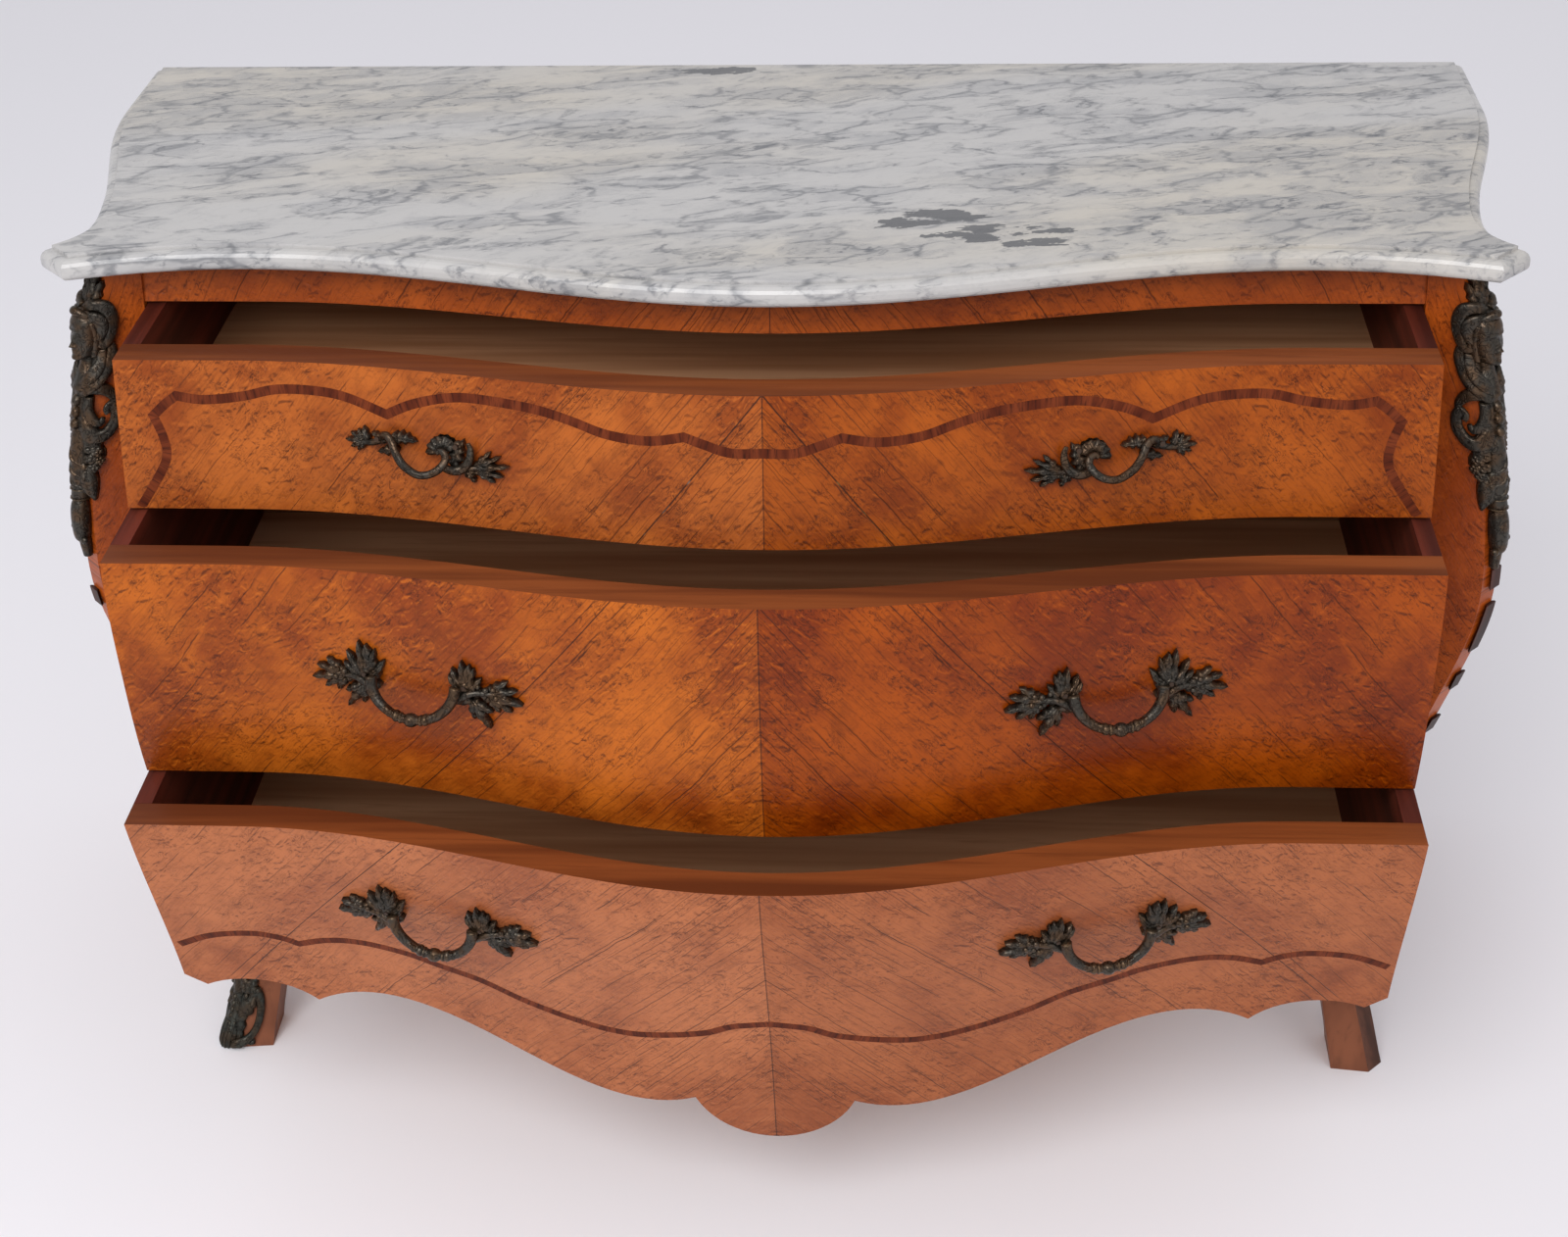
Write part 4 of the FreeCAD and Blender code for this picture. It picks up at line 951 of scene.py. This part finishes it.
def bust_wing(cast, way):
    """Plume, hair and collar on one side of the corner."""
    at = on_side(way)
    cast.leaf(at(2, 33, 6), at(5, 2, 4), 5.0, 3, 4.5)
    cast.leaf(at(4, 33, 4), at(10, 10, 3), 4.5, 3, 3.5)
    cast.bead(at(13, 46, 0.5), 11.0, 0.5, (0, 0, 1))
    cast.tube([at(3, 31, 11, 3.4), at(10, 27, 9, 4.2), at(16, 31, 7.5, 4.4), at(20, 41, 6.5, 4.4),
               at(20, 53, 6, 4.2), at(17, 62, 5.5, 3.8), at(13, 61, 6.5, 3.0), at(12, 55, 7.5, 2.2)],
              48, 14, 0.35)
    cast.tube([at(5, 35, 12, 3.0), at(10, 36, 10.5, 3.4), at(14, 42, 9.5, 3.6), at(15, 49, 8.5, 3.4),
               at(13, 55, 8, 2.8), at(11, 52, 9, 2.2)], 40, 14, 0.35)
    cast.tube([at(9, 42, 11, 2.2), at(10.5, 51, 9, 2.6), at(11, 61, 7, 2.6), at(10, 72, 5, 2.4)], 24)
    cast.tube([at(19, 62, 4, 2.6), at(21, 72, 4.5, 4.2), at(18, 85, 6, 5.0), at(12, 94, 8, 5.0),
               at(6, 101, 9, 4.4), at(1, 106, 9, 3.2)], 36, 14, 0.4)
    cast.tube([at(14, 67, 5, 2.6), at(15, 77, 6, 4.0), at(11, 87, 8.5, 4.4), at(6, 94, 10.5, 4.0),
               at(1, 99, 11, 3.2)], 32, 14, 0.4)
    cast.bead(at(10, 80, 1), 10.0, 0.4, (0, 0, 1))


def scroll_wing(cast, way):
    """Scroll, flowers and drapery on one side of the corner."""
    at = on_side(way)
    cast.tube([at(3, 102, 8, 4.0), at(10, 98, 7.5, 4.6), at(18, 100, 6, 4.4), at(25, 107, 5, 3.2),
               at(27, 115, 4.5, 2.0)], 32, 14, 0.35)
    cast.tube([at(3, 103, 8, 4.2), at(3, 115, 7.5, 5.2), at(7, 129, 7, 5.8), at(14, 138, 6, 5.8),
               at(22, 137, 5.5, 5.6), at(28, 128, 5, 5.0), at(28, 118, 5, 4.2), at(24, 113, 5.5, 3.4),
               at(21, 116, 6.5, 2.8), at(23, 120, 7, 2.2)], 64, 14, 0.4)
    cast.tube([at(9, 105, 7.5, 3.2), at(9, 115, 7.5, 3.6), at(12, 124, 7, 3.6), at(17, 127, 6.5, 3.0),
               at(19, 123, 6.5, 2.0)], 32, 14, 0.2)
    cast.leaf(at(6, 138, 5), at(19, 150, 3), 6.5, 3, 4.5)
    cast.bead(at(12, 156, 0.5), 10.0, 0.35, (0, 0, 1))
    for u, v, radius in FLOWERS:
        flower(cast, at(u, v, 6), radius)
    cast.leaf(at(9, 166, 5), at(14, 197, 3), 6.0, 1, 4.5, depth=0.1, blunt=0.6)
    cast.leaf(at(6, 160, 6), at(9, 190, 5), 4.5, 3, 4.0)


# Levels of the mount, and its middle in rows of (across, down, out, radius).
MOUNT_LOW = 0.581
MOUNT_HIGH = 0.837
TRUNK = ((0, 98, 4, 10.0), (0, 112, 3, 8.2), (0, 130, 3, 8.2), (0, 142, 4, 9.6), (0, 160, 4.5, 9.6),
         (0, 178, 4.5, 9.0), (0, 188, 4.5, 8.4), (0, 194, 4.5, 8.8), (0, 198, 4.5, 6.5))
BUD = ((0, 198, 4.5, 6.0), (0, 203, 5.5, 8.4), (0, 214, 6, 9.0), (0, 226, 6, 8.4), (0, 234, 6, 7.2),
       (0, 239, 5, 4.6))
STUMP = ((0, 237, 4, 5.8), (0, 246, 3.6, 5.2), (0, 255.5, 3, 4.2))
NECK = ((0, 66, 4, 7.4), (0, 78, 3.5, 7.2), (0, 88, 3.5, 9.4), (0, 100, 4, 11.4))
FRINGE = ((-10, 39, 9, 2.6), (-6.5, 34.5, 15.5, 3.0), (0, 32, 19.5, 3.4), (6.5, 34.5, 15.5, 3.0),
          (10, 39, 9, 2.6))
FOLDS = (((-8, 146, 8, 1.6), (0, 158, 14, 1.9), (8, 164, 8, 1.5)),
         ((-8, 158, 8, 1.6), (0, 170, 13.5, 1.9), (8, 175, 8, 1.5)),
         ((-8, 172, 8, 1.6), (0, 181, 13, 1.8), (8, 185, 7, 1.5)))


def add_mount(side, sign):
    """Corner mount: a bust under a plume, on scrolls, flowers and a drawn-out bud."""
    corner = Corner("front_%s_post" % side, sign, MOUNT_LOW, MOUNT_HIGH)
    cast = Casting(corner.wrapped, BRONZE)
    for way in (-1, 1):
        bust_wing(cast, way)
        scroll_wing(cast, way)
    cast.leaf((0, 35, 6), (0, 1, 4), 6.5, 4, 5.0)
    stand_straight(cast, corner)
    head(cast, crown=29, chin=76, out=5)
    for rows in (FRINGE, NECK, TRUNK, BUD, STUMP) + FOLDS:
        cast.tube(rows, 32, 18)
    for v in (109, 119, 129):
        cast.bead((0, v, 11.5), 4.6, 1.05, (0, 1, 0))
    for v in (187, 196):
        cast.bead((0, v, 4.5), 10.0, 0.16, (0, 1, 0))
    cast.bead((-7, 226, 9), 3.4)
    cast.bead((7, 236, 8), 3.6)
    cast.finish("cast_mount_" + side, "case", ("corner_mount_" + side,))


SABOT_TRUNK = ((0, 1, 1.5, 5.0), (0, 8, 1.5, 8.2), (0, 22, 2, 8.8), (0, 34, 1, 7.6), (0, 48, 1, 7.6),
               (0, 58, 2, 8.8), (0, 68, 3.5, 10.2), (0, 76, 4, 10.0), (0, 82.5, 3.5, 7.8))
SABOT_HIGH = 0.084
# First row of the ribbed toe.
TOE_FROM = 5


def sabot_wing(cast, way):
    """Loop and leaves on one side of the foot."""
    at = on_side(way)
    cast.tube([at(8, 25, 5, 4.0), at(17, 28, 4.5, 4.2), at(24.5, 38, 4, 4.0), at(27, 52, 4, 3.8),
               at(25.5, 64, 4, 3.9), at(20, 73, 4.5, 4.2), at(12, 77, 5.5, 4.2), at(2, 78.5, 7, 3.8)],
              56, 14, 0.4)
    cast.leaf(at(9, 77, 2), at(10, 30, 2), 6.0, 5, 4.0, depth=0.3, blunt=0.4)
    cast.leaf(at(12, 52, 3), at(19, 28, 3), 7.5, 3, 4.0, depth=0.3, blunt=0.5)
    cast.leaf(at(5, 27, 5), at(10, 2, 4), 6.0, 4, 4.5, depth=0.45, blunt=0.6)
    cast.leaf(at(10, 29, 4), at(19, 6, 3), 6.0, 4, 4.0, depth=0.45, blunt=0.6)
    cast.leaf(at(16, 74, 4), at(27, 80, 2), 3.6, 2, 2.5)
    cast.bead(at(20, 27, 6), 3.0)
    cast.bead(at(14, 79, 6), 2.4)
    cast.bead(at(24, 77, 4), 2.6)


def add_sabot():
    """Casting on a foot: a leafy top, a loop on each side and a round ribbed toe."""
    corner = Corner("front_left_post", -1, 0.0, SABOT_HIGH)
    cast = Casting(corner.wrapped, DULL_BRONZE)
    for way in (-1, 1):
        sabot_wing(cast, way)
    cast.leaf((0, 27, 7), (0, 1, 5), 5.0, 4, 4.5, depth=0.45)
    stand_straight(cast, corner)
    cast.tube(SABOT_TRUNK, 40, 18)
    for v in (36, 42, 48, 54):
        cast.bead((0, v, 7.5), 3.4, 0.8, (0, 1, 0))
    for share in (-0.8, -0.4, 0, 0.4, 0.8):
        rib = []
        for u, v, w, radius in SABOT_TRUNK[TOE_FROM:]:
            rib.append((share * radius, v, w + radius * math.sqrt(1 - share * share), 1.3))
        cast.tube(rib, 16, 8)
    cast.finish("cast_sabot_left", "case", ("sabot_left",))


# Inlaid bands: their left halves as runs of (x, z) in millimetres, each smooth from corner to corner

BAND_HALF = 3.7
BAND_STEP = 3
BAND_LIFT = 0.18 * MM
BAND_SECTION = ((-1, -BAND_LIFT), (-1, BAND_LIFT), (0, BAND_LIFT), (1, BAND_LIFT), (1, -BAND_LIFT))
TOP_BAND = (
    ((-512, 679), (-488, 716), (-487, 735), (-494, 754)),
    ((-494, 754), (-484, 763), (-474, 770)),
    ((-474, 770), (-452, 767), (-420, 770), (-391, 776), (-356, 776), (-332, 772), (-301.5, 761.5)),
    ((-301.5, 761.5), (-278, 772), (-244, 780), (-210, 780), (-177, 777), (-150, 771), (-122, 763),
     (-89, 760.5), (-61, 765)),
    ((-61, 765), (-46, 760), (-25, 754), (0, 754)),
)
BOTTOM_BAND = (
    ((-517, 297), (-486, 311), (-451, 315), (-428, 310), (-411, 301)),
    ((-411, 301), (-385, 309), (-355, 311), (-314, 304), (-284, 294), (-248, 284), (-212, 268), (-169, 256),
     (-131, 251), (-99, 255), (-56, 267), (-31, 280), (0, 286)),
)


def band_path(runs):
    """Points of the left half of a band and of its mirror image."""
    half = []
    for run in runs:
        length = sum(math.dist(a, b) for a, b in zip(run, run[1:]))
        points = smooth_run(run, max(int(length / BAND_STEP), 2))
        half += points if not half else points[1:]
    return [Vector(point) for point in half + [(-x, z) for x, z in half[-2::-1]]]


def mitred(path):
    """Each point of a path with its half width, mitred at the corners, and its run from the start."""
    rows = []
    run = 0.0
    for index, point in enumerate(path):
        before = path[max(index - 1, 0)]
        after = path[min(index + 1, len(path) - 1)]
        run += (point - before).length * MM
        first = (point - before).normalized() if point != before else (after - point).normalized()
        second = (after - point).normalized() if after != point else first
        across = (first + second).normalized().orthogonal()
        mitre = 1 / max(across.dot(first.orthogonal()), 0.5)
        rows.append((point, across * (BAND_HALF * mitre), run))
    return rows


def band_sections(mesh, drawer, runs):
    """Rows of vertices on a drawer front, each with its place along and across the band."""
    node = drawer + "_drawer_front"
    tree = tree_of(node)
    corners = [Vector(corner) for corner in NODES[node].bound_box]
    low_x = min(corner.x for corner in corners) + MM
    high_x = max(corner.x for corner in corners) - MM
    low_z = min(corner.z for corner in corners) + MM
    sections = []
    for point, half, run in mitred(band_path(runs)):
        section = []
        for share, lift in BAND_SECTION:
            spot = (point + half * share) * MM
            hit = front_hit(tree, min(max(spot.x, low_x), high_x), max(spot.y, low_z))
            vertex = mesh.verts.new(hit - Vector((0, lift, 0)))
            section.append((vertex, (run, share * BAND_HALF * MM)))
        sections.append(section)
    return sections


def add_band(name, drawer, runs):
    """Flush band on a drawer front."""
    mesh = bmesh.new()
    layer = mesh.loops.layers.uv.new("band")
    sections = band_sections(mesh, drawer, runs)
    for low, high in zip(sections, sections[1:]):
        for k in range(len(BAND_SECTION) - 1):
            corners = (low[k], low[k + 1], high[k + 1], high[k])
            face = mesh.faces.new([vertex for vertex, place in corners])
            for loop, (vertex, place) in zip(face.loops, corners):
                loop[layer].uv = place
    bmesh.ops.recalc_face_normals(mesh, faces=mesh.faces[:])
    add_piece(name, mesh_data(name, mesh, BANDING), drawer + "_drawer", ())


# Floor, light and camera

CAMERA_PLACE = (0.13398, -1.79883, 1.66084)
CAMERA_TURN = (0.99029, 0.04708, 0.01888)
FOCAL_PIXELS = 2450.9
PHOTO_WIDTH = 1600
SENSOR = 36.0
FLOOR_HALF = 6
WORLD_COLOUR = (0.97, 0.965, 1.0, 1)
WORLD_STRENGTH = 0.68


def add_floor():
    mesh = bmesh.new()
    bmesh.ops.create_grid(mesh, x_segments=1, y_segments=1, size=FLOOR_HALF)
    floor = bpy.data.objects.new("floor", mesh_data("floor", mesh, floor_finish()))
    bpy.context.scene.collection.objects.link(floor)
    return floor


def add_light(name, place, aim, size, energy):
    data = bpy.data.lights.new(name, "AREA")
    data.shape = "DISK"
    data.size = size
    data.energy = energy
    light = bpy.data.objects.new(name, data)
    light.location = place
    light.rotation_euler = (Vector(aim) - Vector(place)).to_track_quat("-Z", "Y").to_euler()
    bpy.context.scene.collection.objects.link(light)
    return light


def add_camera():
    data = bpy.data.cameras.new("camera")
    data.sensor_width = SENSOR
    data.sensor_fit = "HORIZONTAL"
    data.lens = SENSOR * FOCAL_PIXELS / PHOTO_WIDTH
    data.dof.use_dof = False
    camera = bpy.data.objects.new("camera", data)
    tilt, roll, pan = CAMERA_TURN
    turn = Matrix.Rotation(pan, 4, "Z") @ Matrix.Rotation(tilt, 4, "X") @ Matrix.Rotation(roll, 4, "Y")
    camera.matrix_world = Matrix.Translation(CAMERA_PLACE) @ turn
    bpy.context.scene.collection.objects.link(camera)
    bpy.context.scene.camera = camera
    return camera


def light_world():
    world = bpy.data.worlds.new("studio")
    bpy.context.scene.world = world
    world.use_nodes = True
    background = world.node_tree.nodes["Background"]
    background.inputs["Color"].default_value = WORLD_COLOUR
    background.inputs["Strength"].default_value = WORLD_STRENGTH


def set_stage():
    floor = add_floor()
    lights = [
        add_light("key", place=(-0.9, -3.3, 3.6), aim=(0, -0.9, 0.1), size=3.0, energy=135),
        add_light("fill", place=(2.6, -2.4, 2.4), aim=(0, 0, 0.4), size=2.6, energy=10),
    ]
    add_camera()
    light_world()
    bpy.context.scene.view_settings.view_transform = "Standard"


dress_frame()
add_pulls()
for side, sign in SIDES:
    add_mount(side, sign)
add_sabot()
add_band("top_band", "top", TOP_BAND)
add_band("bottom_band", "bottom", BOTTOM_BAND)
set_stage()
